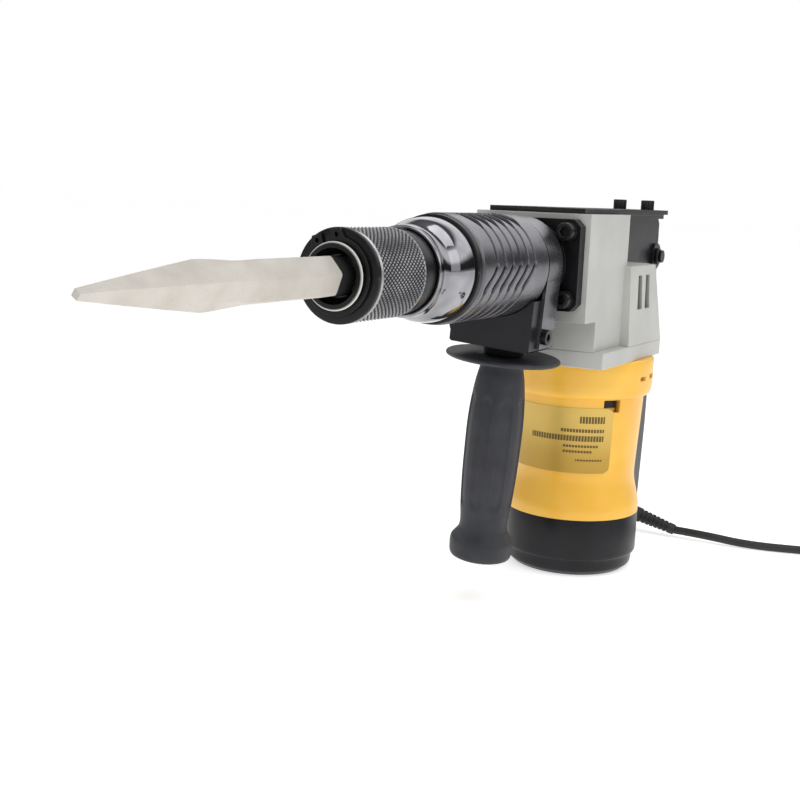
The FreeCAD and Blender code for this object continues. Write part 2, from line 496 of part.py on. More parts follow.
def make_grip():
    rear, front = "grip_at - clamp_to", "grip_at - clamp_from"
    block = clamp_frame(Piece("grip_block"))
    block.pad("YZ", [("-clamp_half", "-clamp_low + 1"), ("-clamp_half + 1", "-clamp_low"),
                     ("clamp_half - 1", "-clamp_low"), ("clamp_half", "-clamp_low + 1"), ("clamp_half", "-17"),
                     ("-clamp_half", "-17")], rear, front)
    block.bore("YZ", [("0", "0", "barrel_rad + clamp_play")], f"{rear} - 1", f"{front} + 1")
    block.bore("YZ", [("0", "0", "cover_rad + 0.5")], "grip_at - cover_to - 0.5", f"{front} + 1")
    block.bore("XY", [("0", "0", "4.05")], "-clamp_low - 1", "-30")
    block.bore("XZ", [("9", "-37", "2.5")], "-clamp_half - 1", "clamp_half + 1")
    strap = clamp_frame(Piece("grip_strap"))
    strap_fore = "grip_at - cover_to - 2.5"
    ring = [("barrel_rad + clamp_play", rear), ("barrel_rad + clamp_play", strap_fore),
            ("barrel_rad + strap_thick", strap_fore), ("barrel_rad + strap_thick", rear)]
    strap.spin("XY", [(along_x, out) for out, along_x in ring], "H_Axis")
    strap.cut("YZ", box("-40", "40", "-40", "-17"), f"{rear} - 1", f"{strap_fore} + 1")
    for low, high in (("-clamp_half - strap_thick", "-clamp_half"), ("clamp_half", "clamp_half + strap_thick")):
        strap.pad("YZ", box(low, high, "-clamp_low + 2", "-6"), rear, strap_fore)
    strap.bore("XZ", [("9", "-37", "2.5")], "-clamp_half - 5", "clamp_half + 5")
    strap.cut("XZ", box("-8", "4", "-40", "-34"), "clamp_half - 1", "clamp_half + 5")
    bolt = clamp_frame(Piece("strap_bolt"))
    bolt.disc("XZ", [("9", "-37", "2.5")], "-clamp_half - strap_thick - 4", "clamp_half + strap_thick")
    bolt.disc("XZ", [("9", "-37", "4.4")], "clamp_half + strap_thick", "clamp_half + strap_thick + 3.5")
    bolt.cuts("XZ", [polygon(6, "2.3", 0, "9", "-37")], "clamp_half + strap_thick + 1.4", "clamp_half + 8")
    nut = clamp_frame(Piece("strap_nut"))
    nut.pad("XZ", polygon(6, "4.6", 0, "9", "-37"), "-clamp_half - strap_thick - 3.8", "-clamp_half - strap_thick")
    nut.bore("XZ", [("9", "-37", "2.5")], "-clamp_half - 9", "-clamp_half")
    collar = clamp_frame(Piece("grip_collar"))
    collar.upright([(4.05, "-clamp_low"), (12, "-clamp_low"), (11.2, "-disc_low + 1.5"), (4.05, "-disc_low + 1.5")])
    stud = clamp_frame(Piece("grip_stud"))
    stud.disc("XY", [("0", "0", "4")], "-grip_low + 72", "-31")
    grip = clamp_frame(Piece("side_grip"))
    grip.upright([
        (4, "-disc_low + 1.4"), ("disc_rad - 1", "-disc_low + 1.4"), ("disc_rad", "-disc_low"),
        ("disc_rad - 1", "-disc_low - 1.4"), (13.4, "-disc_low - 1.8"), (12.4, "-disc_low - 5"),
        ("grip_rad - 0.8", "-disc_low - 15"), ("grip_rad + 1.3", "-disc_low - 40"),
        ("grip_rad + 0.9", "-grip_low + 50"), ("grip_rad", "-grip_low + 33"), ("grip_rad - 1", "-grip_low + 20"),
        ("grip_rad - 0.4", "-grip_low + 16"), ("grip_rad + 3", "-grip_low + 13"),
        ("grip_rad + 3.7", "-grip_low + 9.5"), ("grip_rad + 3.3", "-grip_low + 3"),
        ("grip_rad", "-grip_low"), (0, "-grip_low"), (0, "-grip_low + 72"), (4, "-grip_low + 72"),
    ])


# ---- rear handle, bracket and top plate -------------------------------------------------------------------------
def handle_outline():
    return [
        ("-33", "arm_up"), ("-grip_back + 6", "arm_up"), ("-grip_back", "arm_up - 7"), ("-grip_back - 1.5", "150"),
        ("-grip_back", "80"), ("-grip_back + 4", "heel_up + 8"), ("-grip_back + 12", "heel_low + 3"),
        ("-grip_back + 20", "heel_low"), ("-36", "heel_low"), ("-36", "heel_up"), ("-grip_front + 6", "heel_up"),
        ("-grip_front", "heel_up + 9"), ("-grip_front - 1.5", "trigger_low"), ("-grip_front - 1.5", "trigger_up"),
        ("-grip_front", "150"), ("-grip_front + 2", "arm_low - 12"), ("-grip_front + 10", "arm_low"),
        ("-33", "arm_low"),
    ]


HANDLE_SCREWS = [("-93", "163"), ("-93", "56"), ("-60", "heel_low + 12"), ("-45", "axis_up + 11")]


def make_handle():
    for label, low, high in (("handle_left", "0", "handle_half"), ("handle_right", "-handle_half", "0")):
        half = Piece(label)
        half.pad("XZ", handle_outline(), low, high)
        half.fillet("3.5", lambda edge: abs(abs(edge.CenterOfMass.y) - value("handle_half")) < 0.01
                    and edge.CenterOfMass.x < -value("grip_front") + 4 and edge.CenterOfMass.z < 190
                    and edge.CenterOfMass.z > value("heel_up"))
        side = 1 if low == "0" else -1
        reach = {depth: sorted((0, side * depth)) for depth in (7, 8, 8.5, 20)}
        half.cut("XZ", box("-102", "-84", "70", "153"), *reach[8.5])
        half.cut("XZ", box("-86", "-70", "trigger_low + 1", "trigger_up - 1"), *reach[7])
        half.disc("XZ", [("-pivot_back", "axis_up", "9")], *sorted((side * 5, side * 15)))
        half.bore("XZ", [("-pivot_back", "axis_up", "4")], *reach[20])
        half.bore("XZ", [(a, b, "1.8") for a, b in HANDLE_SCREWS], *sorted((0, side * (8 if side == 1 else 20))))
        if side == -1:
            half.bore("XZ", [(a, b, "3.5") for a, b in HANDLE_SCREWS], "-20", "-10.5")
        else:
            half.bore("XZ", [("-98", "112", "4.3")], "6", "16")
            half.bore("XZ", [("-97", "heel_low + 7", "5")], "6", "16")
        half.bore("XY", [("0", "0", "motor_rad")], "heel_low - 2", "heel_up + 3")
        half.bore("XY", [("-83", "10" if side == 1 else "-10", "2.5")], "axis_up + 11", "arm_up + 2")
    screws = Piece("handle_screws", many=True)
    screws.disc("XZ", [(a, b, "1.8") for a, b in HANDLE_SCREWS], "-11", "8")
    screws.disc("XZ", [(a, b, "3.5") for a, b in HANDLE_SCREWS], "-12.6", "-10.5")
    for a, b in HANDLE_SCREWS:
        cross = [box(f"{a} - 2", f"{a} + 2", f"{b} - 0.4", f"{b} + 0.4")]
        screws.cuts("XZ", cross, "-14", "-11.6")
    pivot = Piece("handle_bolt")
    pivot.disc("XZ", [("-pivot_back", "axis_up", "4")], "-15", "15")
    pivot.disc("XZ", [("-pivot_back", "axis_up", "5.6")], "15", "17")
    pivot.disc("XZ", [("-pivot_back", "axis_up", "4.4")], "16.9", "19.5")
    nut = Piece("handle_nut")
    nut.pad("XZ", polygon(6, "6.4", 0, "-pivot_back", "axis_up"), "-19", "-15")
    nut.bore("XZ", [("-pivot_back", "axis_up", "4")], "-20", "-14")
    trigger = Piece("trigger")
    trigger.pad("XZ", [("-89", "trigger_low + 2"), ("-77", "trigger_low + 2"), ("-73.5", "trigger_low + 8"),
                       ("-75", "89"), ("-73", "trigger_up - 6"), ("-77", "trigger_up - 2"),
                       ("-89", "trigger_up - 2")], "-6.7", "6.7")
    switch = Piece("switch_body")
    switch.pad("XZ", box("-101", "-85", "trigger_up + 3", "151"), "-7.5", "7.5")
    switch.disc("XY", [("-90", "0", "2.5")], "trigger_up", "trigger_up + 4")
    button = Piece("lock_button")
    button.disc("XZ", [("-98", "112", "4")], "11.2", "15.4")
    button.disc("XZ", [("-98", "112", "3.2")], "15.3", "16.2")
    bracket = Piece("handle_bracket")
    side_shape = [("17", "arm_up + 3"), ("-73", "arm_up + 3"), ("-72", "arm_up - 4"), ("-65", "arm_up - 14"),
                  ("-57", "arm_up - 24"), ("-52", "arm_low + 2"), ("-33", "arm_low + 2"), ("-28", "hump_up"),
                  ("17", "hump_up")]
    bracket.pad("XZ", side_shape, "-handle_half - 2.5", "handle_half + 2.5")
    bracket.cut("XZ", box("-90", "30", "150", "arm_up"), "-handle_half", "handle_half")
    bracket.pad("XY", box("-grip_back + 2", "-60", "-handle_half - 2.5", "handle_half + 2.5"), "arm_up", "arm_up + 3")
    bracket.bore("XY", [("-83", "10", "2.5"), ("-83", "-10", "2.5")], "arm_up - 1", "arm_up + 4")
    plate = Piece("top_plate")
    plate.pad("XY", [("plate_fore", "-plate_half - 12"), ("plate_fore", "plate_half + 12"),
                     ("20", "plate_half + 12"), ("4", "plate_half"), ("-plate_rear + 5", "plate_half"),
                     ("-plate_rear", "plate_half - 6"), ("-plate_rear", "-plate_half + 6"),
                     ("-plate_rear + 5", "-plate_half"), ("4", "-plate_half"), ("20", "-plate_half - 12")],
              "block_up", "block_up + plate_thick")
    plate.bore("XY", [("-83", "10", "2.5"), ("-83", "-10", "2.5")], "block_up - 1", "block_up + 4")
    bolts = Piece("bracket_bolts", many=True)
    places = [("-83", "10"), ("-83", "-10")]
    bolts.disc("XY", [(a, b, "4.5") for a, b in places], "block_up + plate_thick", "block_up + plate_thick + 6.5")
    bolts.disc("XY", [(a, b, "2.5") for a, b in places], "axis_up + 11", "block_up + plate_thick + 1")
    bolts.cuts("XY", [polygon(6, "2.3", 0, a, b) for a, b in places], "block_up + plate_thick + 3.5", "block_up + 20")


# ---- brushes ---------------------------------------------------------------------------------------------------
def make_brushes():
    brushes = Piece("carbon_brushes", many=True)
    holders = Piece("brush_holders", many=True)
    for low, high in (("14.1", "27"), ("-27", "-14.1")):
        brushes.pad("XZ", box("-3.5", "3.5", "38.5", "43.5"), low, high)
    for low, high in (("16", "38"), ("-38", "-16")):
        holders.pad("XZ", box("-5.5", "5.5", "36.5", "45.5"), low, high)
    holders.cut("XZ", box("-3.5", "3.5", "38.5", "43.5"), "-40", "40")


# ---- cord ------------------------------------------------------------------------------------------------------
CORD_ROUTE = [(-97, 43, 5.4), (-97, 64, 5.4), (-99, 96, 3.0), (-112, 136, 3.0), (-123.7, 176, 3.0)]
TAIL_ROUTE = [(-82.0, 231.6, 8.4), (-59, 231.6, 8.4), (-36.5, 238.5, 8.4)]
COIL_MIDDLE = (-82.0, 188.2)


def tube_along(label, route, radius):
    """Round tube on straight runs joined by tangent arcs; prints the arc radii and checks the volume."""
    spots = [FreeCAD.Vector(*spot) for spot in route]
    edges = []
    start = spots[0]
    radii = []
    for before, corner, after in zip(spots, spots[1:], spots[2:]):
        into = (corner - before).normalize()
        away = (after - corner).normalize()
        half_turn = into.getAngle(away) / 2
        cut_back = 0.45 * min((corner - before).Length, (after - corner).Length)
        radii.append(round(cut_back / math.tan(half_turn), 1))
        first = corner - into * cut_back
        last = corner + away * cut_back
        bend = (away - into).normalize()
        middle = corner + bend * (cut_back / math.cos(half_turn) / math.tan(half_turn) * (1 - math.cos(half_turn)))
        edges.append(Part.LineSegment(start, first).toShape())
        edges.append(Part.Arc(first, middle, last).toShape())
        start = last
    edges.append(Part.LineSegment(start, spots[-1]).toShape())
    wire = Part.Wire(edges)
    ring = Part.Wire(Part.makeCircle(radius, spots[0], (spots[1] - spots[0]).normalize()))
    solid = wire.makePipeShell([ring], True, True)
    expected = math.pi * radius ** 2 * wire.Length
    print(label, "arc radii", radii, "length", round(wire.Length, 1),
          "volume over expected", round(solid.Volume / expected, 4))
    item = doc.addObject("Part::Feature", label)
    item.Shape = solid
    pieces.append(item)


def make_cord():
    guard = Piece("cord_guard")
    guard.loft("XZ", [("13", polygon(16, "5.4", 0, "-97", "heel_low + 7")),
                      ("25", polygon(16, "4.7", 0, "-97", "9.6")),
                      ("43", polygon(16, "3.7", 0, "-97", "5.4"))])
    guard.disc("XZ", [("-97", "heel_low + 7", "5")], "9", "13.5")
    tube_along("power_cord", CORD_ROUTE, value("cord_rad"))
    coil = Piece("cord_coil").place(str(COIL_MIDDLE[0]), str(COIL_MIDDLE[1]), "0")
    coil.upright([("33 - cord_rad * 3 + 1", 0.2), ("33 + cord_rad * 3 - 1", 0.2), ("33 + cord_rad * 3", 1.2),
                  ("33 + cord_rad * 3", "cord_rad * 6 - 1"), ("33 + cord_rad * 3 - 1", "cord_rad * 6"),
                  ("33 - cord_rad * 3 + 1", "cord_rad * 6"), ("33 - cord_rad * 3", "cord_rad * 6 - 1"),
                  ("33 - cord_rad * 3", 1.2)])
    tube_along("cord_tail", TAIL_ROUTE, value("cord_rad"))
    before, end = TAIL_ROUTE[-2:]
    angle = math.degrees(math.atan2(end[1] - before[1], end[0] - before[0]))
    spot = [str(number) for number in end]
    plug = Piece("plug_body").place(*spot, (0, 0, 1), angle)
    plug.loft("YZ", [("0", polygon(16, "4.6", 11.25)), ("12", polygon(16, "7", 11.25)),
                     ("plug_long", polygon(16, "7.8", 11.25))])
    plug.pad("YZ", box("-13", "13", "-7", "7"), "plug_long - 16", "plug_long")
    pins = Piece("plug_pins", many=True).place(*spot, (0, 0, 1), angle)
    pins.disc("YZ", [("9.5", "0", "2.4"), ("-9.5", "0", "2.4")], "plug_long", "plug_long + 19")


BUILDERS = (make_chisel, make_holder, make_front, make_spring, make_barrel, make_mechanism, make_housings,
            make_motor, make_brushes, make_grip, make_handle, make_cord)
for build in BUILDERS:
    build()
doc.recompute()

faults = []
for piece in pieces:
    if any(word in piece.State for word in ("Invalid", "Error")):
        faults.append(f"{piece.Label}: {piece.State}")
    if piece.Shape.isNull() or not piece.Shape.isValid() or not piece.Shape.Solids:
        faults.append(f"{piece.Label}: bad shape")
for item in doc.Objects:
    if any(word in item.State for word in ("Invalid", "Error")):
        faults.append(f"{item.Label}: {item.State}")
if faults:
    raise RuntimeError("; ".join(faults))
os.makedirs("parts", exist_ok=True)
for piece in pieces:
    piece.Shape.exportStep(f"parts/{piece.Label}.step")
print(len(pieces), "pieces written")
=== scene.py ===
import json
import math

import bmesh
import bpy
from mathutils import Matrix, Vector


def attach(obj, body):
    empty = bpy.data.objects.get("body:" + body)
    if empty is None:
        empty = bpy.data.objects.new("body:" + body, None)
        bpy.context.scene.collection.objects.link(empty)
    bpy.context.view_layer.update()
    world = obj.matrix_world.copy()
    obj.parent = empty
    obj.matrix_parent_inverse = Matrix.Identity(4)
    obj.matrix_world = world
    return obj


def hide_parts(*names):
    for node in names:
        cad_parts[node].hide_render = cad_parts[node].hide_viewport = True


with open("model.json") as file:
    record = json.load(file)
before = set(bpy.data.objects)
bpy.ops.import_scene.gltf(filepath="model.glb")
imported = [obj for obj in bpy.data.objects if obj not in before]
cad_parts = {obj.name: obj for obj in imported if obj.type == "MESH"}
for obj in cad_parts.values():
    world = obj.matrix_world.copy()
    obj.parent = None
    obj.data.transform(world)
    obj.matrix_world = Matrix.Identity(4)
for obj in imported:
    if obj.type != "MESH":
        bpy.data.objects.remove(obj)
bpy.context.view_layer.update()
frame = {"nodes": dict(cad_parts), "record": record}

scene = bpy.context.scene
nose = 0.300             # where the tool holder ends, metres ahead of the motor axis
axisUp = 0.201           # barrel axis above the floor
mm = 0.001
print("frame loaded,", len(frame["nodes"]), "CAD nodes")


# node trees: a Wire is one socket, so shader and geometry sums read as plain Python
class Wire:
    def __init__(self, tree, socket):
        self.tree = tree
        self.socket = socket

    def maths(self, kind, *values):
        return self.tree.make("ShaderNodeMath", {"operation": kind}, dict(enumerate(values)))

    def __add__(self, other):
        return self.maths("ADD", self, other)

    def __radd__(self, other):
        return self.maths("ADD", other, self)

    def __sub__(self, other):
        return self.maths("SUBTRACT", self, other)

    def __rsub__(self, other):
        return self.maths("SUBTRACT", other, self)

    def __mul__(self, other):
        return self.maths("MULTIPLY", self, other)

    def __rmul__(self, other):
        return self.maths("MULTIPLY", other, self)

    def __truediv__(self, other):
        return self.maths("DIVIDE", self, other)

    def __rtruediv__(self, other):
        return self.maths("DIVIDE", other, self)

    def __gt__(self, other):
        return self.maths("GREATER_THAN", self, other)

    def __lt__(self, other):
        return self.maths("LESS_THAN", self, other)

    def step(self, low, high):      # 0 below low, 1 above high, smooth between
        settings = {"interpolation_type": "SMOOTHSTEP"}
        return self.tree.make("ShaderNodeMapRange", settings, {0: self, 1: low, 2: high, 3: 0.0, 4: 1.0})

    def wave(self, size):           # triangle wave from 0 to 1, one per size
        return self.maths("PINGPONG", self / size, 0.5) * 2

    def least(self, other):
        return self.maths("MINIMUM", self, other)

    def most(self, other):
        return self.maths("MAXIMUM", self, other)

    def size(self):
        return self.maths("ABSOLUTE", self)

    def root(self):
        return self.maths("SQRT", self)

    def turnOf(self, side):         # degrees round from side, for this height
        return self.maths("ARCTAN2", self, side) * (180 / math.pi)


class Tree:
    def __init__(self, nodeTree):
        self.nodeTree = nodeTree

    def make(self, kind, settings=None, inputs=None, out=0):
        node = self.nodeTree.nodes.new(kind)
        for name, setting in (settings or {}).items():
            if name == "stops":
                ramp = node.color_ramp
                while len(ramp.elements) < len(setting):
                    ramp.elements.new(0.5)
                for element, (position, colour) in zip(ramp.elements, setting):
                    element.position = position
                    element.color = colour
            else:
                setattr(node, name, setting)
        for key, given in (inputs or {}).items():
            if isinstance(given, Wire):
                self.nodeTree.links.new(given.socket, node.inputs[key])
            else:
                node.inputs[key].default_value = given
        return Wire(self, node.outputs[out])

    def place(self, stretch=(1, 1, 1)):     # object coordinates, stretched for streaks
        at = self.make("ShaderNodeTexCoord", out="Object")
        return self.make("ShaderNodeMapping", None, {"Vector": at, "Scale": stretch})

    def noise(self, at, scale, detail=3.0, rough=0.55):
        return self.make("ShaderNodeTexNoise", None, {"Vector": at, "Scale": scale, "Detail": detail,
                                                      "Roughness": rough}, "Fac")

    def mix(self, factor, first, second):
        return self.make("ShaderNodeMix", {"data_type": "RGBA"}, {0: factor, 6: first, 7: second}, 2)

    def bump(self, height, strength, distance):
        return self.make("ShaderNodeBump", None, {"Height": height, "Strength": strength, "Distance": distance})

    def split(self, vector):
        made = self.make("ShaderNodeSeparateXYZ", None, {0: vector})
        return [Wire(self, socket) for socket in made.socket.node.outputs]

    def feed(self, shader, name, wire):
        self.nodeTree.links.new(wire.socket, shader.inputs[name])


def srgb(red, green, blue):
    parts = [value / 255 for value in (red, green, blue)]
    return tuple(p / 12.92 if p < 0.04045 else ((p + 0.055) / 1.055) ** 2.4 for p in parts) + (1.0,)


# finishes
def newFinish(name, fixed):
    made = bpy.data.materials.new(name)
    made.use_nodes = True
    shader = made.node_tree.nodes["Principled BSDF"]
    for socket, setting in fixed.items():
        shader.inputs[socket].default_value = setting
    return made, Tree(made.node_tree), shader


def makeFinish(name, look):
    made, tree, shader = newFinish(name, look.get("fixed", {}))
    at = tree.place(look.get("stretch", (1, 1, 1)))
    broad = tree.noise(at, look["broadScale"], 2.0)
    fine = tree.noise(at, look["fineScale"], 4.0, 0.65)
    colour = tree.mix(broad.step(0.3, 0.7), look["dark"], look["light"])
    rough = look["rough"] + (broad - 0.5) * look["roughSpread"] + (fine - 0.5) * look["roughSpread"]
    if "speck" in look:             # small darker flecks, as on blasted or worn metal
        colour = tree.mix(fine.step(*look["speckFrom"]) * look["speckMuch"], colour, look["speck"])
    if "hollow" in look:            # painted shade down in cuts and vents, a painted highlight on the holder's rim, a darker chisel neck
        hollow = tree.make("ShaderNodeAttribute", {"attribute_name": "hollow"}, out="Fac")
        colour = tree.mix(hollow, colour, look["hollow"])
        rough = rough + hollow * 0.3
    if "wear" in look:              # rubbed edges
        geometry = tree.make("ShaderNodeNewGeometry", out="Pointiness")
        edge = (geometry + (fine - 0.5) * 0.06).step(*look["wearFrom"])
        colour = tree.mix(edge * look["wearMuch"], colour, look["wear"])
        rough = rough - edge * look.get("wearGloss", 0.1)
    tree.feed(shader, "Base Color", colour)
    tree.feed(shader, "Roughness", rough)
    tree.feed(shader, "Normal", tree.bump(fine, look["bump"], look["bumpDeep"]))
    return made


# the second, marked colour in these looks is painted shade in cuts and vents; on black_steel it is a painted
# highlight, on forged_steel the darker chisel neck
finishLooks = {
    "forged_steel": {"dark": srgb(196, 190, 181), "light": srgb(208, 203, 195), "rough": 0.60, "roughSpread": 0.10,
                     "broadScale": 60.0, "fineScale": 1500.0, "bump": 0.5, "bumpDeep": 0.00025,
                     "speck": srgb(120, 115, 108), "speckFrom": (0.60, 0.72), "speckMuch": 0.5,
                     "hollow": srgb(20, 20, 22), "fixed": {"Metallic": 0.35}},
    "black_steel": {"dark": srgb(8, 8, 10), "light": srgb(17, 17, 20), "rough": 0.34, "roughSpread": 0.14,
                    "broadScale": 90.0, "fineScale": 900.0, "bump": 0.15, "bumpDeep": 0.0001,
                    "wear": srgb(110, 108, 104), "wearFrom": (0.60, 0.70), "wearMuch": 0.4,
                    "hollow": srgb(222, 219, 212), "fixed": {"Metallic": 0.2, "Specular IOR Level": 0.35}},
    "knurl_steel": {"dark": srgb(142, 142, 145), "light": srgb(168, 168, 170), "rough": 0.28, "roughSpread": 0.10,
                    "broadScale": 60.0, "fineScale": 1400.0, "bump": 0.2, "bumpDeep": 0.0001,
                    "hollow": srgb(14, 14, 16), "fixed": {"Metallic": 0.9}},
    "bright_steel": {"dark": srgb(150, 150, 152), "light": srgb(198, 198, 200), "rough": 0.26, "roughSpread": 0.12,
                     "broadScale": 90.0, "fineScale": 900.0, "bump": 0.15, "bumpDeep": 0.0001,
                     "fixed": {"Metallic": 1.0}},
    "dark_chrome": {"dark": srgb(128, 128, 132), "light": srgb(160, 160, 164), "rough": 0.10, "roughSpread": 0.08,
                    "broadScale": 55.0, "fineScale": 420.0, "bump": 0.10, "bumpDeep": 0.0002,
                    "fixed": {"Metallic": 1.0}},
    "gloss_black": {"dark": srgb(98, 98, 103), "light": srgb(114, 114, 119), "rough": 0.27, "roughSpread": 0.08,
                    "broadScale": 60.0, "fineScale": 700.0, "bump": 0.04, "bumpDeep": 0.0001,
                    "hollow": srgb(4, 4, 5), "fixed": {"Metallic": 0.85}},
    "satin_grey": {"dark": srgb(146, 147, 144), "light": srgb(158, 159, 156), "rough": 0.46, "roughSpread": 0.10,
                   "broadScale": 30.0, "fineScale": 1600.0, "bump": 0.25, "bumpDeep": 0.00015,
                   "hollow": srgb(8, 8, 9)},
    "light_grey": {"dark": srgb(182, 182, 178), "light": srgb(194, 194, 190), "rough": 0.42, "roughSpread": 0.10,
                   "broadScale": 26.0, "fineScale": 1700.0, "bump": 0.25, "bumpDeep": 0.00015,
                   "hollow": srgb(10, 10, 11)},
    "cast_alloy": {"dark": srgb(120, 121, 124), "light": srgb(150, 151, 153), "rough": 0.52, "roughSpread": 0.14,
                   "broadScale": 60.0, "fineScale": 1100.0, "bump": 0.5, "bumpDeep": 0.0003,
                   "fixed": {"Metallic": 0.7}},
    "yellow_shell": {"dark": srgb(248, 188, 62), "light": srgb(254, 200, 78), "rough": 0.36, "roughSpread": 0.12,
                     "broadScale": 24.0, "fineScale": 1900.0, "bump": 0.30, "bumpDeep": 0.00012,
                     "hollow": srgb(20, 12, 4),
                     "fixed": {"Coat Weight": 0.15, "Coat Roughness": 0.25}},
    "black_shell": {"dark": srgb(16, 16, 20), "light": srgb(26, 26, 31), "rough": 0.34, "roughSpread": 0.14,
                    "broadScale": 40.0, "fineScale": 1500.0, "bump": 0.30, "bumpDeep": 0.00015,
                    "fixed": {"Specular IOR Level": 0.3}},
    "grip_rubber": {"dark": srgb(42, 43, 48), "light": srgb(54, 55, 60), "rough": 0.50, "roughSpread": 0.14,
                    "broadScale": 50.0, "fineScale": 1400.0, "bump": 0.45, "bumpDeep": 0.0002,
                    "fixed": {"Specular IOR Level": 0.35}},
    "cord_rubber": {"dark": srgb(22, 22, 24), "light": srgb(36, 36, 39), "rough": 0.55, "roughSpread": 0.16,
                    "broadScale": 60.0, "fineScale": 1300.0, "bump": 0.35, "bumpDeep": 0.0002},
    "copper_face": {"dark": srgb(168, 98, 62), "light": srgb(206, 132, 92), "rough": 0.32, "roughSpread": 0.14,
                    "broadScale": 90.0, "fineScale": 900.0, "bump": 0.3, "bumpDeep": 0.0002,
                    "fixed": {"Metallic": 1.0}},
    "brass_pin": {"dark": srgb(190, 158, 92), "light": srgb(220, 192, 122), "rough": 0.28, "roughSpread": 0.12,
                  "broadScale": 90.0, "fineScale": 900.0, "bump": 0.2, "bumpDeep": 0.0001,
                  "fixed": {"Metallic": 1.0}},
    "carbon": {"dark": srgb(26, 26, 28), "light": srgb(48, 48, 50), "rough": 0.6, "roughSpread": 0.14,
               "broadScale": 90.0, "fineScale": 1200.0, "bump": 0.4, "bumpDeep": 0.0002},
}
finishes = {name: makeFinish(name, look) for name, look in finishLooks.items()}

label = {"dark": srgb(186, 148, 58), "light": srgb(222, 188, 98), "ink": srgb(52, 42, 22), "brush": 700.0,
         "rough": 0.46, "low": 0.068, "high": 0.110, "half": 54.0, "corner": 0.004,
         "bars": [(0.1025, 0.0022, 24, 46), (0.0955, 0.0011, 8, 46), (0.0905, 0.0018, -20, 46),
                  (0.0855, 0.0008, 10, 42), (0.0820, 0.0008, 10, 36), (0.0765, 0.0006, 22, 46)]}


def makeFoil():
    made, tree, shader = newFinish("gold_foil", {"Metallic": 0.35})
    at = tree.place()
    brushed = tree.noise(tree.place((1, 1, 14)), label["brush"], 2.0)
    broad = tree.noise(at, 22.0, 1.0)
    height = tree.split(at)[2]
    # the foil is painted lighter towards its top: painted light from above
    paintedTopLight = (height / (label["high"] - label["low"]) - 1.6).step(0.0, 1.0)
    colour = tree.mix((broad * 0.5 + paintedTopLight * 0.6).step(0.1, 0.9), label["dark"], label["light"])
    x, y, z = tree.split(at)
    turn = y.turnOf(x)
    printed = 0.0
    for middle, half, first, last in label["bars"]:     # plain bars where a real plate has its lines of text
        bar = ((z - middle).size() < half) * (turn > first) * (turn < last)
        printed = bar if printed == 0.0 else printed.most(bar)
    dashed = (turn.wave(2.6) > 0.22) * printed
    colour = tree.mix(dashed * 0.85, colour, label["ink"])
    tree.feed(shader, "Base Color", colour)
    tree.feed(shader, "Roughness", label["rough"] + (brushed - 0.5) * 0.18)
    tree.feed(shader, "Normal", tree.bump(tree.noise(at, 160.0, 2.0), 0.18, 0.0004))
    return made


finishes["gold_foil"] = makeFoil()
slotOf = {part["node"]: part["material_slot"] for part in frame["record"]["subparts"]}
bodyOf = {node: body for body, nodes in frame["record"]["behaviour"]["bodies"].items() for node in nodes}
for nodeName, item in frame["nodes"].items():
    for holder in item.material_slots:
        holder.material = finishes[slotOf[nodeName]]
print("finishes made:", len(finishes))


# camera, floor and light
view = {"place": (0.7351, 0.2836, 0.2369), "right": (-0.4998, 0.8653, 0.0388), "up": (-0.1271, -0.1175, 0.9850),
        "back": (0.8568, 0.4874, 0.1687), "lens": 54.0}
camera = bpy.data.objects.new("camera", bpy.data.cameras.new("camera"))
camera.data.lens = view["lens"]
camera.data.sensor_width = 36.0
turned = Matrix([view["right"], view["up"], view["back"]]).transposed().to_quaternion().to_matrix().to_4x4()
camera.matrix_world = Matrix.Translation(view["place"]) @ turned
camera.data.clip_start = 0.01
scene.collection.objects.link(camera)
scene.camera = camera

studio = {"floorTone": srgb(246, 246, 246), "floorSize": 40.0, "floorGlow": 0.60, "ambient": 0.40}
lamps = {
    "overheadSoftbox": {"place": (0.25, 0.35, 1.5), "aim": (0.15, 0, 0.15), "size": 1.3, "power": 11.0},
    "sideSoftbox": {"place": (0.30, 1.5, 0.75), "aim": (0.15, 0, 0.15), "size": 1.1, "power": 2.6},
    "frontFill": {"place": (1.6, 0.1, 0.8), "aim": (0.2, 0, 0.15), "size": 0.8, "power": 1.4},
}


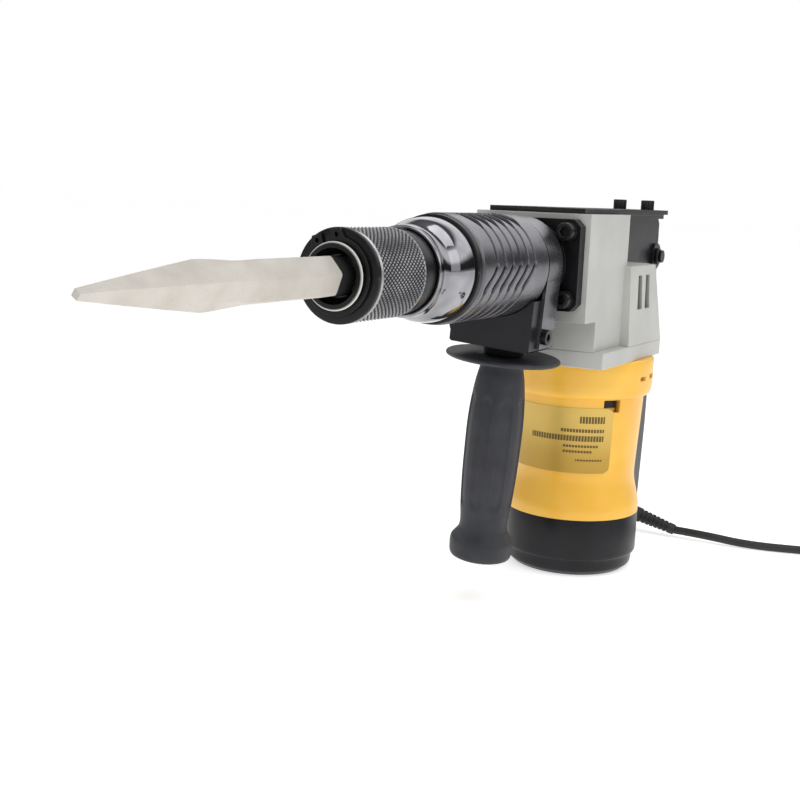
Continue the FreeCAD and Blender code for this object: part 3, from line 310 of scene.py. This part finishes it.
def makeStudio():
    mesh = bpy.data.meshes.new("floor")
    half = studio["floorSize"] / 2
    mesh.from_pydata([(-half, -half, 0), (half, -half, 0), (half, half, 0), (-half, half, 0)], [], [(0, 1, 2, 3)])
    floor = bpy.data.objects.new("floor", mesh)
    made, tree, shader = newFinish("paleFloor", {"Roughness": 0.9, "Emission Color": (1, 1, 1, 1),
                                                 "Emission Strength": studio["floorGlow"]})
    tone = tree.noise(tree.place(), 3.0)
    tree.feed(shader, "Base Color", tree.mix(tone * 0.1, studio["floorTone"], (1, 1, 1, 1)))
    mesh.materials.append(made)
    scene.collection.objects.link(floor)
    for name, lamp in lamps.items():
        light = bpy.data.lights.new(name, "AREA")
        light.shape = "SQUARE"
        light.size = lamp["size"]
        light.energy = lamp["power"]
        holder = bpy.data.objects.new(name, light)
        away = Vector(lamp["place"]) - Vector(lamp["aim"])
        holder.matrix_world = Matrix.Translation(lamp["place"]) @ away.to_track_quat("Z", "Y").to_matrix().to_4x4()
        scene.collection.objects.link(holder)
    world = bpy.data.worlds.new("studio")
    world.use_nodes = True
    tree = Tree(world.node_tree)
    background = world.node_tree.nodes["Background"]
    background.inputs["Strength"].default_value = 1.0
    way = tree.make("ShaderNodeTexCoord", out="Generated")
    upward = tree.split(way)[2]
    bands = tree.make("ShaderNodeValToRGB", {"stops": [
        (0.0, (0.5, 0.5, 0.5, 1)), (0.49, (0.5, 0.5, 0.5, 1)), (0.52, (0.03, 0.03, 0.03, 1)),
        (0.60, (0.05, 0.05, 0.06, 1)), (0.66, (1.3, 1.3, 1.3, 1)), (0.80, (1.5, 1.5, 1.5, 1)),
        (0.86, (0.12, 0.12, 0.13, 1)), (1.0, (0.30, 0.30, 0.31, 1))]}, {"Fac": upward * 0.5 + 0.5})
    seen = tree.make("ShaderNodeLightPath", out="Is Camera Ray")
    mirrored = tree.make("ShaderNodeLightPath", out="Is Glossy Ray")
    soft = (studio["ambient"],) * 3 + (1.0,)
    shown = tree.mix(seen, tree.mix(mirrored, soft, bands), (1, 1, 1, 1))
    world.node_tree.links.new(shown.socket, background.inputs["Color"])
    scene.world = world
    scene.view_settings.view_transform = "Standard"


makeStudio()
print("camera and studio ready")


# pieces: shared shaping tools
def finishPiece(item, body, *nodes, finish=None):
    slot = finish or slotOf[nodes[0]]
    if not item.data.materials:
        item.data.materials.append(finishes[slot])
    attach(item, body)
    if nodes:
        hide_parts(*nodes)
    return item


def smoothOut(mesh, angle=38):
    mesh.shade_smooth()
    mesh.set_sharp_from_angle(angle=math.radians(angle))


def toObject(name, work, angle=38):
    bmesh.ops.remove_doubles(work, verts=work.verts, dist=1e-6)
    bmesh.ops.recalc_face_normals(work, faces=work.faces)
    mesh = bpy.data.meshes.new(name)
    work.to_mesh(mesh)
    work.free()
    smoothOut(mesh, angle)
    item = bpy.data.objects.new(name, mesh)
    scene.collection.objects.link(item)
    return item


def loftRings(name, rings, angle=38):       # rings of equal count, closed by a fan at each end
    work = bmesh.new()
    rows = [[work.verts.new(point) for point in ring] for ring in rings]
    count = len(rows[0])
    for first, second in zip(rows, rows[1:]):
        for index in range(count):
            after = (index + 1) % count
            work.faces.new((first[index], first[after], second[after], second[index]))
    for row in (rows[0], rows[-1]):
        middle = work.verts.new(sum((vert.co for vert in row), Vector()) / count)
        for index in range(count):
            work.faces.new((row[index], row[(index + 1) % count], middle))
    return toObject(name, work, angle)


def rounded(profile, radius, steps=3):      # each corner of a closed profile becomes a small arc
    made = []
    count = len(profile)
    for index in range(count):
        before, corner, after = (Vector(profile[(index + k) % count]) for k in (-1, 0, 1))
        if corner.y < 1e-7:
            made.append(corner)
            continue
        back = min(radius, 0.45 * (before - corner).length, 0.45 * (after - corner).length)
        first = corner + (before - corner).normalized() * back
        last = corner + (after - corner).normalized() * back
        for step in range(steps + 1):
            t = step / steps
            made.append(first * (1 - t) ** 2 + corner * 2 * t * (1 - t) + last * t ** 2)
    return made


def curved(points, steps=6):                # smooth line through points
    made = []
    spots = [Vector(point) for point in points]
    for index in range(len(spots) - 1):
        p0, p1 = spots[max(index - 1, 0)], spots[index]
        p2, p3 = spots[index + 1], spots[min(index + 2, len(spots) - 1)]
        for step in range(steps):
            t = step / steps
            made.append(0.5 * (2 * p1 + (p2 - p0) * t + (2 * p0 - 5 * p1 + 4 * p2 - p3) * t ** 2
                               + (3 * p1 - p0 - 3 * p2 + p3) * t ** 3))
    return made + [spots[-1]]


def lathe(name, profile, toPoint, steps=160, angle=38):     # closed (along, radius) profile in millimetres
    work = bmesh.new()
    columns = []
    for index in range(steps):
        turn = 2 * math.pi * index / steps
        columns.append([work.verts.new(toPoint(spot[0] * mm, spot[1] * mm, turn)) for spot in profile])
    count = len(profile)
    for index in range(steps):
        first, second = columns[index], columns[(index + 1) % steps]
        for row in range(count):
            after = (row + 1) % count
            if profile[row][1] < 1e-7 and profile[after][1] < 1e-7:
                continue
            work.faces.new((first[row], first[after], second[after], second[row]))
    return toObject(name, work, angle)


def onBarrel(along, radius, turn):          # along is the distance behind the nose
    return nose - along, radius * math.cos(turn), axisUp + radius * math.sin(turn)


def onMotor(height, radius, turn):
    return radius * math.cos(turn), radius * math.sin(turn), height


def bake(item, angle=None):                 # modifiers become plain mesh
    graph = bpy.context.evaluated_depsgraph_get()
    mesh = bpy.data.meshes.new_from_object(item.evaluated_get(graph), preserve_all_data_layers=True,
                                          depsgraph=graph)
    item.modifiers.clear()
    item.data = mesh
    if angle:
        smoothOut(mesh, angle)
    return item


def mark(item, test):                       # where test holds, the finish turns to its second colour: painted shade in vents, a painted highlight on the holder's rim, a darker chisel neck
    marks = item.data.attributes.new("hollow", "FLOAT", "POINT")
    for index, vert in enumerate(item.data.vertices):
        marks.data[index].value = 1.0 if test(vert.co) else 0.0
    return item


def fromCad(node, bevel=0.5, segments=3, angle=30, finish=None):
    mesh = frame["nodes"][node].data.copy()
    mesh.materials.clear()
    work = bmesh.new()
    work.from_mesh(mesh)
    bmesh.ops.remove_doubles(work, verts=work.verts, dist=2e-6)
    bmesh.ops.dissolve_limit(work, angle_limit=math.radians(0.6), verts=work.verts, edges=work.edges)
    work.to_mesh(mesh)
    work.free()
    item = bpy.data.objects.new(node + "_finished", mesh)
    scene.collection.objects.link(item)
    edge = item.modifiers.new("edges", "BEVEL")
    edge.width = bevel * mm
    edge.segments = segments
    edge.limit_method = "ANGLE"
    edge.angle_limit = math.radians(angle)
    edge.use_clamp_overlap = True
    smoothOut(mesh, angle)
    even = item.modifiers.new("even", "WEIGHTED_NORMAL")
    even.keep_sharp = True
    bake(item)
    return finishPiece(item, bodyOf[node], node, finish=finish)


def newGroup(name, sockets):                # a geometry tree with named inputs
    group = bpy.data.node_groups.new(name, "GeometryNodeTree")
    group.interface.new_socket("Geometry", in_out="OUTPUT", socket_type="NodeSocketGeometry")
    group.interface.new_socket("Geometry", in_out="INPUT", socket_type="NodeSocketGeometry")
    for title, kind in sockets.items():
        group.interface.new_socket(title, in_out="INPUT", socket_type=kind)
    tree = Tree(group)
    source = group.nodes.new("NodeGroupInput")
    return group, tree, {socket.name: Wire(tree, socket) for socket in source.outputs if socket.name}


def endGroup(group, tree, geometry, finish):
    whole = tree.make("GeometryNodeRealizeInstances", None, {0: geometry})
    painted = tree.make("GeometryNodeSetMaterial", None, {"Geometry": whole, "Material": finish})
    group.links.new(painted.socket, group.nodes.new("NodeGroupOutput").inputs[0])


def endCut(group, tree, inputs, place, finish, dark=None):      # moved points, and how much painted shade each one gets
    solid = inputs["Geometry"]
    if dark:
        solid = tree.make("GeometryNodeStoreNamedAttribute", {"data_type": "FLOAT"},
                          {"Geometry": solid, "Name": "hollow", "Value": dark})
    moved = tree.make("ShaderNodeCombineXYZ", None, dict(enumerate(place)))
    shaped = tree.make("GeometryNodeSetPosition", None, {"Geometry": solid, "Position": moved})
    endGroup(group, tree, shaped, finishes[finish])
    return group


def grow(item, group, values, angle=38):
    modifier = item.modifiers.new(group.name, "NODES")
    modifier.node_group = group
    for entry in group.interface.items_tree:
        if entry.item_type == "SOCKET" and entry.in_out == "INPUT" and entry.name in values:
            modifier[entry.identifier] = values[entry.name]
    return bake(item, angle)


# cord: one smooth line from the handle's heel, round the coil and out to the plug
cord = {"diameter": 0.0056, "pointsPerTurn": 24, "turns": 8.294, "stay": 0.9583, "window": 0.0833,
        "middle": (-0.082, 0.1882), "enter": 196.3, "exit": (-0.097, 0.043, 0.0054)}
cordRoute = [(-0.097, 0.043, 0.0054), (-0.097, 0.064, 0.0054), (-0.099, 0.096, 0.003), (-0.112, 0.136, 0.003),
             (-0.1237, 0.176, 0.003)]
tailRoute = [(-0.082, 0.2316, 0.0095), (-0.059, 0.2316, 0.0084), (-0.0365, 0.2385, 0.0084)]
coilCells = [(38.6, 3.0), (33.0, 3.0), (27.4, 3.0), (27.4, 8.4), (27.4, 13.8), (33.0, 13.8), (33.0, 8.4),
             (38.6, 8.4), (38.6, 13.8)]


def coilPoints():
    made = []
    count = round(cord["turns"] * cord["pointsPerTurn"])
    for index in range(1, count):
        turns = index / cord["pointsPerTurn"]
        at = 0.0
        for cell in range(1, len(coilCells)):
            t = (turns - cell * cord["stay"]) / cord["window"] + 0.5
            t = min(max(t, 0.0), 1.0)
            at += t * t * (3 - 2 * t)
        low = min(int(at), len(coilCells) - 2)
        first, second = Vector(coilCells[low]), Vector(coilCells[low + 1])
        radius, height = first.lerp(second, at - low)
        ease = max(0.0, 1 - index / 2.5) if index < 3 else 0.0
        radius += 4.8 * ease
        left = count - index
        if left < 4:
            radius += 4.8 * (1 - left / 4)
            height -= 2.5 * (1 - left / 4)
        turn = math.radians(cord["enter"] - 360 * turns)
        made.append((cord["middle"][0] + radius * mm * math.cos(turn),
                     cord["middle"][1] + radius * mm * math.sin(turn), height * mm))
    return made


def makeCord():
    points = cordRoute + coilPoints() + tailRoute
    curve = bpy.data.curves.new("powerCord", "CURVE")
    curve.dimensions = "3D"
    spline = curve.splines.new("NURBS")
    spline.points.add(len(points) - 1)
    for spot, point in zip(spline.points, points):
        spot.co = (*point, 1.0)
    spline.order_u = 3
    spline.use_endpoint_u = True
    spline.resolution_u = 6
    line = bpy.data.objects.new("powerCord", curve)
    scene.collection.objects.link(line)
    bare = bpy.data.meshes.new_from_object(line)
    spots = [vert.co for vert in bare.vertices]
    length = sum((b - a).length for a, b in zip(spots, spots[1:]))
    curve.bevel_depth = cord["diameter"] / 2
    curve.bevel_resolution = 5
    curve.use_fill_caps = True
    line.data.materials.append(finishes["cord_rubber"])
    finishPiece(line, "housing", "power_cord", "cord_coil", "cord_tail")
    print("cord length", round(length, 4))
    return line, length


powerCord, cordLength = makeCord()


# chisel: a rounded hexagon shank forged down to a square point
chisel = {"turn": 11.0, "flat": 8.5, "halfHead": 7.15, "tip": 1.5, "steps": 96, "sharp": 40.0, "neck": 8.7}


def polygonRadius(turn, sides, flat):
    total = 0.0
    for index in range(sides // 2):
        face = math.pi / sides + index * 2 * math.pi / sides
        total += abs(math.cos(turn - face)) ** chisel["sharp"]
    return flat / total ** (1 / chisel["sharp"])


def chiselRing(along):
    hexPart = 1.0
    squareFlat = chisel["halfHead"]
    if along < -58:
        t = min((-58 - along) / 33, 1.0)
        hexPart = 1 - t * t * (3 - 2 * t)
    if along < -91:
        t = (-91 - along) / 60
        squareFlat = chisel["halfHead"] + (chisel["tip"] - chisel["halfHead"]) * (0.93 * t + 0.07 * t * t)
    ring = []
    for index in range(chisel["steps"]):
        turn = 2 * math.pi * index / chisel["steps"]
        radius = hexPart * polygonRadius(turn, 6, chisel["flat"])
        radius += (1 - hexPart) * polygonRadius(turn, 4, squareFlat)
        if -6.5 < along < 12:
            radius = min(radius, chisel["neck"] + max(0.0, 1 - (along + 6.5) / 0.8) * 1.2)
        if 38 < along < 60:
            lean = math.cos(turn - math.pi / 2)
            if lean > 0.3:
                radius = min(radius, 5.5 / lean)
        ring.append(onBarrel(along * mm, radius * mm, turn + math.radians(chisel["turn"])))
    return ring


def makeChisel():
    stops = [70, 69.2, 60.01, 59.99, 38.01, 37.99, 20, 12.01, 11.99, 0, -5.7, -6.1, -6.49, -6.51, -20, -40, -50]
    stops += [-58 - 33 * k / 16 for k in range(17)] + [-91 - 60 * k / 20 for k in range(1, 21)]
    item = loftRings("chiselBit", [chiselRing(along) for along in stops], 24)
    mark(item, lambda spot: spot.x < nose + 6.3 * mm)      # the shank from 6.3 mm ahead of the nose back into the holder takes the darker colour
    return finishPiece(item, "chisel", "chisel")


makeChisel()


# front end
knurl = {"pitch": 3.1, "around": 58, "deep": 0.75, "radius": 21.2, "from": 8.4, "to": 45.9, "fine": 6}


def knurlGroup():
    group, tree, inputs = newGroup("diamondKnurl", {"Around": "NodeSocketFloat", "Pitch": "NodeSocketFloat",
                                                    "Deep": "NodeSocketFloat", "Radius": "NodeSocketFloat"})
    x, y, z = tree.split(tree.make("GeometryNodeInputPosition"))
    up = z - axisUp
    radius = (y * y + up * up).root()
    turn = up.maths("ARCTAN2", up, y) * inputs["Around"] / (2 * math.pi)
    along = (nose - x - knurl["from"] * mm) / inputs["Pitch"]
    height = (turn + along).wave(1.0).least((turn - along).wave(1.0))
    ends = (nose - x).step((knurl["from"] - 0.1) * mm, (knurl["from"] + 0.5) * mm)
    ends = ends * (1 - (nose - x).step((knurl["to"] - 0.5) * mm, (knurl["to"] + 0.1) * mm))
    outer = radius > inputs["Radius"] - 0.0003
    scale = 1 - (1 - height) * inputs["Deep"] * outer * ends / radius
    # painted shade down in the knurl's valleys
    dark = ((0.72 - height) * 2.2).most(0.0).least(1.0) * outer * ends
    return endCut(group, tree, inputs, (x, y * scale, up * scale + axisUp), "knurl_steel", dark)


def makeFront():
    pace = knurl["pitch"] / knurl["fine"]
    count = int((knurl["to"] - knurl["from"]) / pace) + 1
    rows = [(knurl["from"] + pace * k, knurl["radius"]) for k in range(count)]
    profile = [(7.2, 15.4), (7.2, 20.3), (7.5, 20.7), (7.9, 21.0)] + rows
    profile += [(46.4, 21.0), (46.8, 20.7), (47.0, 20.3), (47.0, 18.4), (18, 18.4), (18, 15.4)]
    sleeve = lathe("knurledSleeve", profile, onBarrel, knurl["around"] * knurl["fine"], 60)
    grow(sleeve, knurlGroup(), {"Around": float(knurl["around"]), "Pitch": knurl["pitch"] * mm,
                                "Deep": knurl["deep"] * mm, "Radius": knurl["radius"] * mm}, 24)
    finishPiece(sleeve, "sleeve", "knurled_sleeve")
    washer = lathe("sleeveWasher", rounded([(4.2, 15.1), (4.2, 21.2), (6.8, 21.2), (6.8, 15.1)], 0.6), onBarrel)
    finishPiece(washer, "housing", "sleeve_washer")
    fromCad("holder_circlip", 0.3)
    holder = fromCad("tool_holder", 0.4, angle=25)
    # the outer rim of the nose face is painted bright: a painted highlight
    mark(holder, lambda spot: spot.x > nose - 1.1 * mm and math.hypot(spot.y, spot.z - axisUp) > 14.3 * mm)
    skirt = lathe("sleeveSkirt", rounded([(47, 18.4), (47, 20), (59.6, 20), (59.6, 18.4)], 0.3), onBarrel)
    finishPiece(skirt, "sleeve", "sleeve_skirt")
    outside = curved([(58.6, 20.7), (58.7, 21.6), (59.6, 22.0), (61.0, 21.7), (63.5, 21.3), (66.5, 21.3),
                      (69.0, 22.0), (71.5, 23.4), (74.5, 24.8), (78, 25.6), (82, 26.0), (86.8, 26.0), (87.8, 25.6)])
    bell = lathe("frontBell", [tuple(spot) for spot in outside] + [(88, 25.2), (88, 20), (72, 20), (72, 20.4),
                                                                   (58.7, 20.4)], onBarrel, 192)
    finishPiece(bell, "housing", "front_bell")
    ring = lathe("bellRing", rounded([(88, 20), (88, 27.3), (92.4, 27.3), (92.4, 20)], 0.7), onBarrel, 192)
    finishPiece(ring, "housing", "bell_ring", finish="black_steel")


makeFront()
print("chisel, cord and front end made")


# barrel cover: six grooves that widen into slots high up and jog forward low down
ribs = {"first": 107.7, "pitch": 9.2, "count": 6, "jog": 10.0, "jogFrom": 7.0, "jogTo": -21.0, "deep": 1.7,
        "line": 0.95, "slot": 3.3, "slotLow": 47.0, "slotHigh": 84.0, "radius": 28.0}


def ribGroup():
    group, tree, inputs = newGroup("coverRibs", {"Pitch": "NodeSocketFloat", "Deep": "NodeSocketFloat",
                                                 "Jog": "NodeSocketFloat", "Line": "NodeSocketFloat",
                                                 "Slot": "NodeSocketFloat"})
    x, y, z = tree.split(tree.make("GeometryNodeInputPosition"))
    up = z - axisUp
    radius = (y * y + up * up).root()
    turn = up.turnOf(y.size())
    jogged = 1 - turn.step(ribs["jogTo"], ribs["jogFrom"])
    along = nose - x + jogged * inputs["Jog"] - (ribs["first"] - ribs["pitch"] / 2) * mm
    inside = (along > 0) * (along < ribs["pitch"] * ribs["count"] * mm)
    turns = along / inputs["Pitch"]
    off = (turns.maths("FRACT", turns) - 0.5).size() * inputs["Pitch"]
    jogBand = turn.step(ribs["jogTo"] - 4, ribs["jogTo"] + 6) * (1 - turn.step(ribs["jogFrom"] - 6,
                                                                              ribs["jogFrom"] + 2))
    slotBand = turn.step(ribs["slotLow"], ribs["slotLow"] + 22) * (1 - turn.step(ribs["slotHigh"],
                                                                                ribs["slotHigh"] + 3))
    half = inputs["Line"] + jogBand * 0.0014 + slotBand * inputs["Slot"]
    groove = 1 - (off - half).step(-0.00035, 0.00035)
    outer = radius > (ribs["radius"] - 0.6) * mm
    scale = 1 - groove * inside * outer * inputs["Deep"] / radius
    place = (x, y * scale, up * scale + axisUp)
    # the grooves and slots are painted dark: painted shade
    return endCut(group, tree, inputs, place, "gloss_black", groove * inside * outer)


def makeCover():
    rows = [(94.2 + 0.35 * k, ribs["radius"]) for k in range(223)]
    profile = [(92.4, 25.0), (92.4, 26.6), (92.7, 27.3), (93.4, 27.9)] + rows
    profile += [(172.6, 27.7), (173, 27.2), (173, 25.0)]
    cover = lathe("barrelCover", profile, onBarrel, 288, 60)
    grow(cover, ribGroup(), {"Pitch": ribs["pitch"] * mm, "Deep": ribs["deep"] * mm, "Jog": ribs["jog"] * mm,
                             "Line": ribs["line"] * mm, "Slot": ribs["slot"] * mm}, 32)
    finishPiece(cover, "housing", "barrel_cover")


makeCover()
fromCad("barrel", 0.8, finish="black_steel")
print("barrel made")


# screws: one head shape set out on its places
def headRings(radius, high, socket, deep, steps=48):
    def ring(radiusAt, height):
        return [(radiusAt(2 * math.pi * k / steps) * math.cos(2 * math.pi * k / steps) * mm,
                 radiusAt(2 * math.pi * k / steps) * math.sin(2 * math.pi * k / steps) * mm, height * mm)
                for k in range(steps)]

    def hexagon(turn):
        part = (turn + math.pi / 6) % (math.pi / 3) - math.pi / 6
        return socket / math.cos(part)

    return [ring(lambda t: radius, 0), ring(lambda t: radius, high - 0.5),
            ring(lambda t: radius - 0.15, high - 0.15), ring(lambda t: radius - 0.5, high), ring(lambda t: hexagon(t) + 0.35, high),
            ring(hexagon, high - 0.3), ring(hexagon, high - deep)]


def setOut(name, places, rings, turn, finish, body, node):
    source = loftRings(name + "Source", rings, 30)
    holder = bpy.data.objects.new(name, bpy.data.meshes.new(name))
    holder.data.from_pydata(places, [], [])
    scene.collection.objects.link(holder)
    group, tree, inputs = newGroup(name, {"Turn": "NodeSocketVector", "Size": "NodeSocketFloat"})
    head = tree.make("GeometryNodeObjectInfo", None, {"Object": source}, "Geometry")
    spots = tree.make("GeometryNodeMeshToPoints", None, {"Mesh": inputs["Geometry"]})
    copies = tree.make("GeometryNodeInstanceOnPoints", None, {"Points": spots, "Instance": head,
                                                              "Rotation": inputs["Turn"], "Scale": inputs["Size"]})
    endGroup(group, tree, copies, finishes[finish])
    grow(holder, group, {"Turn": turn, "Size": 1.0}, 30)
    bpy.data.objects.remove(source)
    return finishPiece(holder, body, node, finish=finish)


flangeScrew = {"behind": 200.6, "across": 26, "up": 19, "radius": 5, "high": 6, "socket": 2.5, "deep": 3}
flangePlaces = [((nose * 1000 - flangeScrew["behind"]) * mm, a * flangeScrew["across"] * mm,
                 axisUp + b * flangeScrew["up"] * mm) for a in (1, -1) for b in (1, -1)]
setOut("flangeScrewHeads", flangePlaces,
       headRings(flangeScrew["radius"], flangeScrew["high"], flangeScrew["socket"], flangeScrew["deep"]),
       (0, math.pi / 2, 0), "black_steel", "housing", "flange_screws")
topScrew = {"radius": 4.5, "high": 6.5, "socket": 2.0, "deep": 3}
setOut("bracketScrewHeads", [(-0.083, 0.010, 0.233), (-0.083, -0.010, 0.233)],
       headRings(topScrew["radius"], topScrew["high"], topScrew["socket"], topScrew["deep"]),
       (0, 0, 0), "black_steel", "housing", "bracket_bolts")
fromCad("flange_washers", 0.2)


# housings
vent = {"rear": -0.009, "front": 0.016, "low": 0.171, "high": 0.194, "inner": 0.024, "outer": 0.0392}
crankCase = fromCad("crank_housing", 2.6, 5)
# the vent openings are painted dark: painted shade
mark(crankCase, lambda spot: vent["rear"] < spot.x < vent["front"] and vent["low"] < spot.z < vent["high"]
     and vent["inner"] < abs(spot.y) < vent["outer"])
fromCad("gearbox_plate", 1.0)


shellCuts = {"notch": (44.0, 60.0, 107.4, 115.0, 4.0, 1.0), "front slot": (75.8, 84.0, 126.8, 129.4, 2.0, 0.45),
             "rear slot": (91.0, 107.0, 127.2, 130.2, 2.0, 0.45)}     # turns, heights, deep, painted shade


def cutGroup():
    group, tree, inputs = newGroup("shellCuts", {"Soft": "NodeSocketFloat"})
    x, y, z = tree.split(tree.make("GeometryNodeInputPosition"))
    radius = (x * x + y * y).root()
    turn = y.turnOf(x)
    outer = radius > 0.0394
    depth = z * 0.0
    dark = z * 0.0
    for first, last, low, high, deep, tone in shellCuts.values():
        inside = turn.step(first, inputs["Soft"] + first) * (1 - turn.step(last - inputs["Soft"], last))
        inside = inside * (z > low * mm) * (z < high * mm) * outer
        depth = depth + inside * deep * mm
        # the notch and slots are painted dark: painted shade
        dark = dark + inside * tone
    scale = 1 - depth / radius
    return endCut(group, tree, inputs, (x * scale, y * scale, z), "yellow_shell", dark)


def motorProfile():
    outside = curved([(38, 43.5), (44, 43.5), (52, 41.6), (62, 39.6), (75, 40.0), (95, 41.1), (104, 41.6)], 4)
    outside += [Vector((104 + 0.4 * k, 41.6 + 0.02 * k)) for k in range(1, 30)]
    outside += [Vector((116.0, 43.2)), Vector((116.4, 44.9)), Vector((117.4, 45.9)), Vector((120, 46.7))]
    outside += [Vector((124 + 0.4 * k, 47.0)) for k in range(20)]
    return [tuple(spot) for spot in outside] + [(138.8, 47.0), (139.6, 46.7), (140, 46.2), (140, 20), (136, 20),
                                                (136, 39), (114, 38), (62, 36.6), (38, 39.5)]


def makeMotor():
    shell = lathe("motorShell", motorProfile(), onMotor, 360)
    grow(shell, cutGroup(), {"Soft": 0.8}, 38)
    finishPiece(shell, "housing", "motor_housing")
    waistUp, waistRadius, taper, proud = 0.062, 0.0396, 2.2 / 52, 0.00045
    rows = []
    for row in range(25):
        height = label["low"] + (label["high"] - label["low"]) * row / 24
        radius = waistRadius + (height - waistUp) * taper + proud
        inset = 0.0
        reach = min(height - label["low"], label["high"] - height)
        if reach < label["corner"]:
            inset = label["corner"] - math.sqrt(max(label["corner"] ** 2 - (label["corner"] - reach) ** 2, 0))
        half = math.radians(label["half"]) - inset / radius
        rows.append([onMotor(height, radius, half * (k / 36 - 1)) for k in range(73)])
    work = bmesh.new()
    grid = [[work.verts.new(point) for point in row] for row in rows]
    for first, second in zip(grid, grid[1:]):
        for index in range(72):
            work.faces.new((first[index], first[index + 1], second[index + 1], second[index]))
    plate = toObject("ratingPlate", work)
    thick = plate.modifiers.new("thick", "SOLIDIFY")
    thick.thickness = 0.0003
    thick.offset = 0
    bake(plate, 38)
    finishPiece(plate, "housing", "rating_label")
    cap = curved([(2.0, 38.6), (3.4, 40.3), (5.5, 41.0), (9.0, 41.2)], 4)
    profile = [(0.0, 0.0), (0.0, 35.5), (0.5, 37.0)] + [tuple(spot) for spot in cap]
    profile += [(10.6, 41.6), (11.4, 42.9), (12.4, 43.4), (13.6, 43.5), (37.2, 43.5), (37.8, 43.3), (38, 42.8),
                (38, 39.5), (14, 39.5), (5, 35), (5, 0)]
    foot = lathe("baseCap", profile, onMotor, 192)
    finishPiece(foot, "housing", "base_cap")


makeMotor()
print("housings made")


# side grip and its clamp
lean = Matrix.Translation((nose - 0.1876, 0, axisUp)) @ Matrix.Rotation(math.radians(-4), 4, "X")
grip = {"panels": 8, "share": 0.62, "deep": 0.9, "top": -76.0, "bottom": -142.0}


def onGrip(height, radius, turn):
    return radius * math.cos(turn), radius * math.sin(turn), height


def panelGroup():
    group, tree, inputs = newGroup("gripPanels", {"Count": "NodeSocketFloat", "Share": "NodeSocketFloat",
                                                  "Deep": "NodeSocketFloat", "Top": "NodeSocketFloat",
                                                  "Bottom": "NodeSocketFloat"})
    x, y, z = tree.split(tree.make("GeometryNodeInputPosition"))
    radius = (x * x + y * y).root()
    turn = y.maths("ARCTAN2", y, x) / (2 * math.pi) * inputs["Count"]
    off = turn.wave(1.0) * 0.5
    across = off * 2 * math.pi * radius / inputs["Count"]
    halfWide = inputs["Share"] * math.pi * radius / inputs["Count"]
    over = (z - inputs["Top"] + halfWide).most(inputs["Bottom"] + halfWide - z).most(0.0)
    reach = (over * over + across * across).root() / halfWide
    inside = 1 - reach.step(0.86, 1.04)
    outer = radius > 0.0095
    scale = 1 - inside * outer * inputs["Deep"] / radius
    return endCut(group, tree, inputs, (x * scale, y * scale, z), "grip_rubber")


def makeGrip():
    side = curved([(-55.6, 13.2), (-57, 12.5), (-60, 12.6), (-68, 14.2), (-80, 15.6), (-93.5, 16.3), (-110, 16.2),
                   (-124, 15.9), (-141, 15.0), (-150, 14.1), (-154, 14.0), (-157, 14.6), (-160, 16.8),
                   (-162, 18.2), (-164.5, 18.7), (-168, 18.6), (-171, 18.3), (-173, 17.4), (-174, 15.5)], 8)
    profile = [(-52.1, 4), (-52.1, 31.6), (-52.6, 32.6), (-53.5, 33.0), (-54.4, 32.6), (-54.9, 31.6),
               (-55.2, 15.0)] + [tuple(spot) for spot in side] + [(-174, 0), (-102, 0), (-102, 4)]
    handle = lathe("sideGrip", profile, onGrip, 192, 50)
    grow(handle, panelGroup(), {"Count": float(grip["panels"]), "Share": grip["share"], "Deep": grip["deep"] * mm,
                                "Top": grip["top"] * mm, "Bottom": grip["bottom"] * mm}, 45)
    handle.data.transform(lean)
    finishPiece(handle, "grip", "side_grip")


makeGrip()
fromCad("grip_block", 0.7, finish="black_shell")
fromCad("grip_strap", 0.4, finish="gloss_black")
for node, bevel in (("strap_bolt", 0.35), ("strap_nut", 0.35), ("grip_collar", 0.4)):
    fromCad(node, bevel)
print("side grip made")


# rear handle and bracket
fromCad("handle_left", 0.8)
fromCad("handle_right", 0.8)
fromCad("handle_bracket", 0.8, finish="black_steel")
fromCad("top_plate", 0.6, finish="black_steel")
for node, bevel in (("handle_bolt", 0.4), ("handle_nut", 0.4), ("handle_screws", 0.2), ("trigger", 1.2),
                    ("lock_button", 0.5)):
    fromCad(node, bevel)

guard = {"from": (-97, 13, 13), "to": (-97, 43, 5.4), "ribs": 7}


def makeGuard():
    start, end = Vector(guard["from"]), Vector(guard["to"])
    length = (end - start).length
    frameTurn = (end - start).to_track_quat("Z", "Y").to_matrix().to_4x4()
    profile = [(-3.5, 0), (-3.5, 4.9), (0, 5.4), (4, 5.35)]
    for index in range(guard["ribs"]):
        at = 5 + index * (length - 8) / guard["ribs"]
        radius = 5.2 - 1.5 * at / length
        profile += [(at, radius), (at + 0.3, radius - 0.7), (at + 1.2, radius - 0.75), (at + 1.5, radius - 0.05)]
    profile += [(length - 0.4, 3.7), (length, 3.4), (length, 0)]
    item = lathe("strainRelief", profile, onGrip, 64)
    item.data.transform(Matrix.Translation(start * mm) @ frameTurn)
    return finishPiece(item, "housing", "cord_guard")


makeGuard()
plug = fromCad("plug_body", 1.2)
pins = fromCad("plug_pins", 0.5)
print("rear handle and plug made")
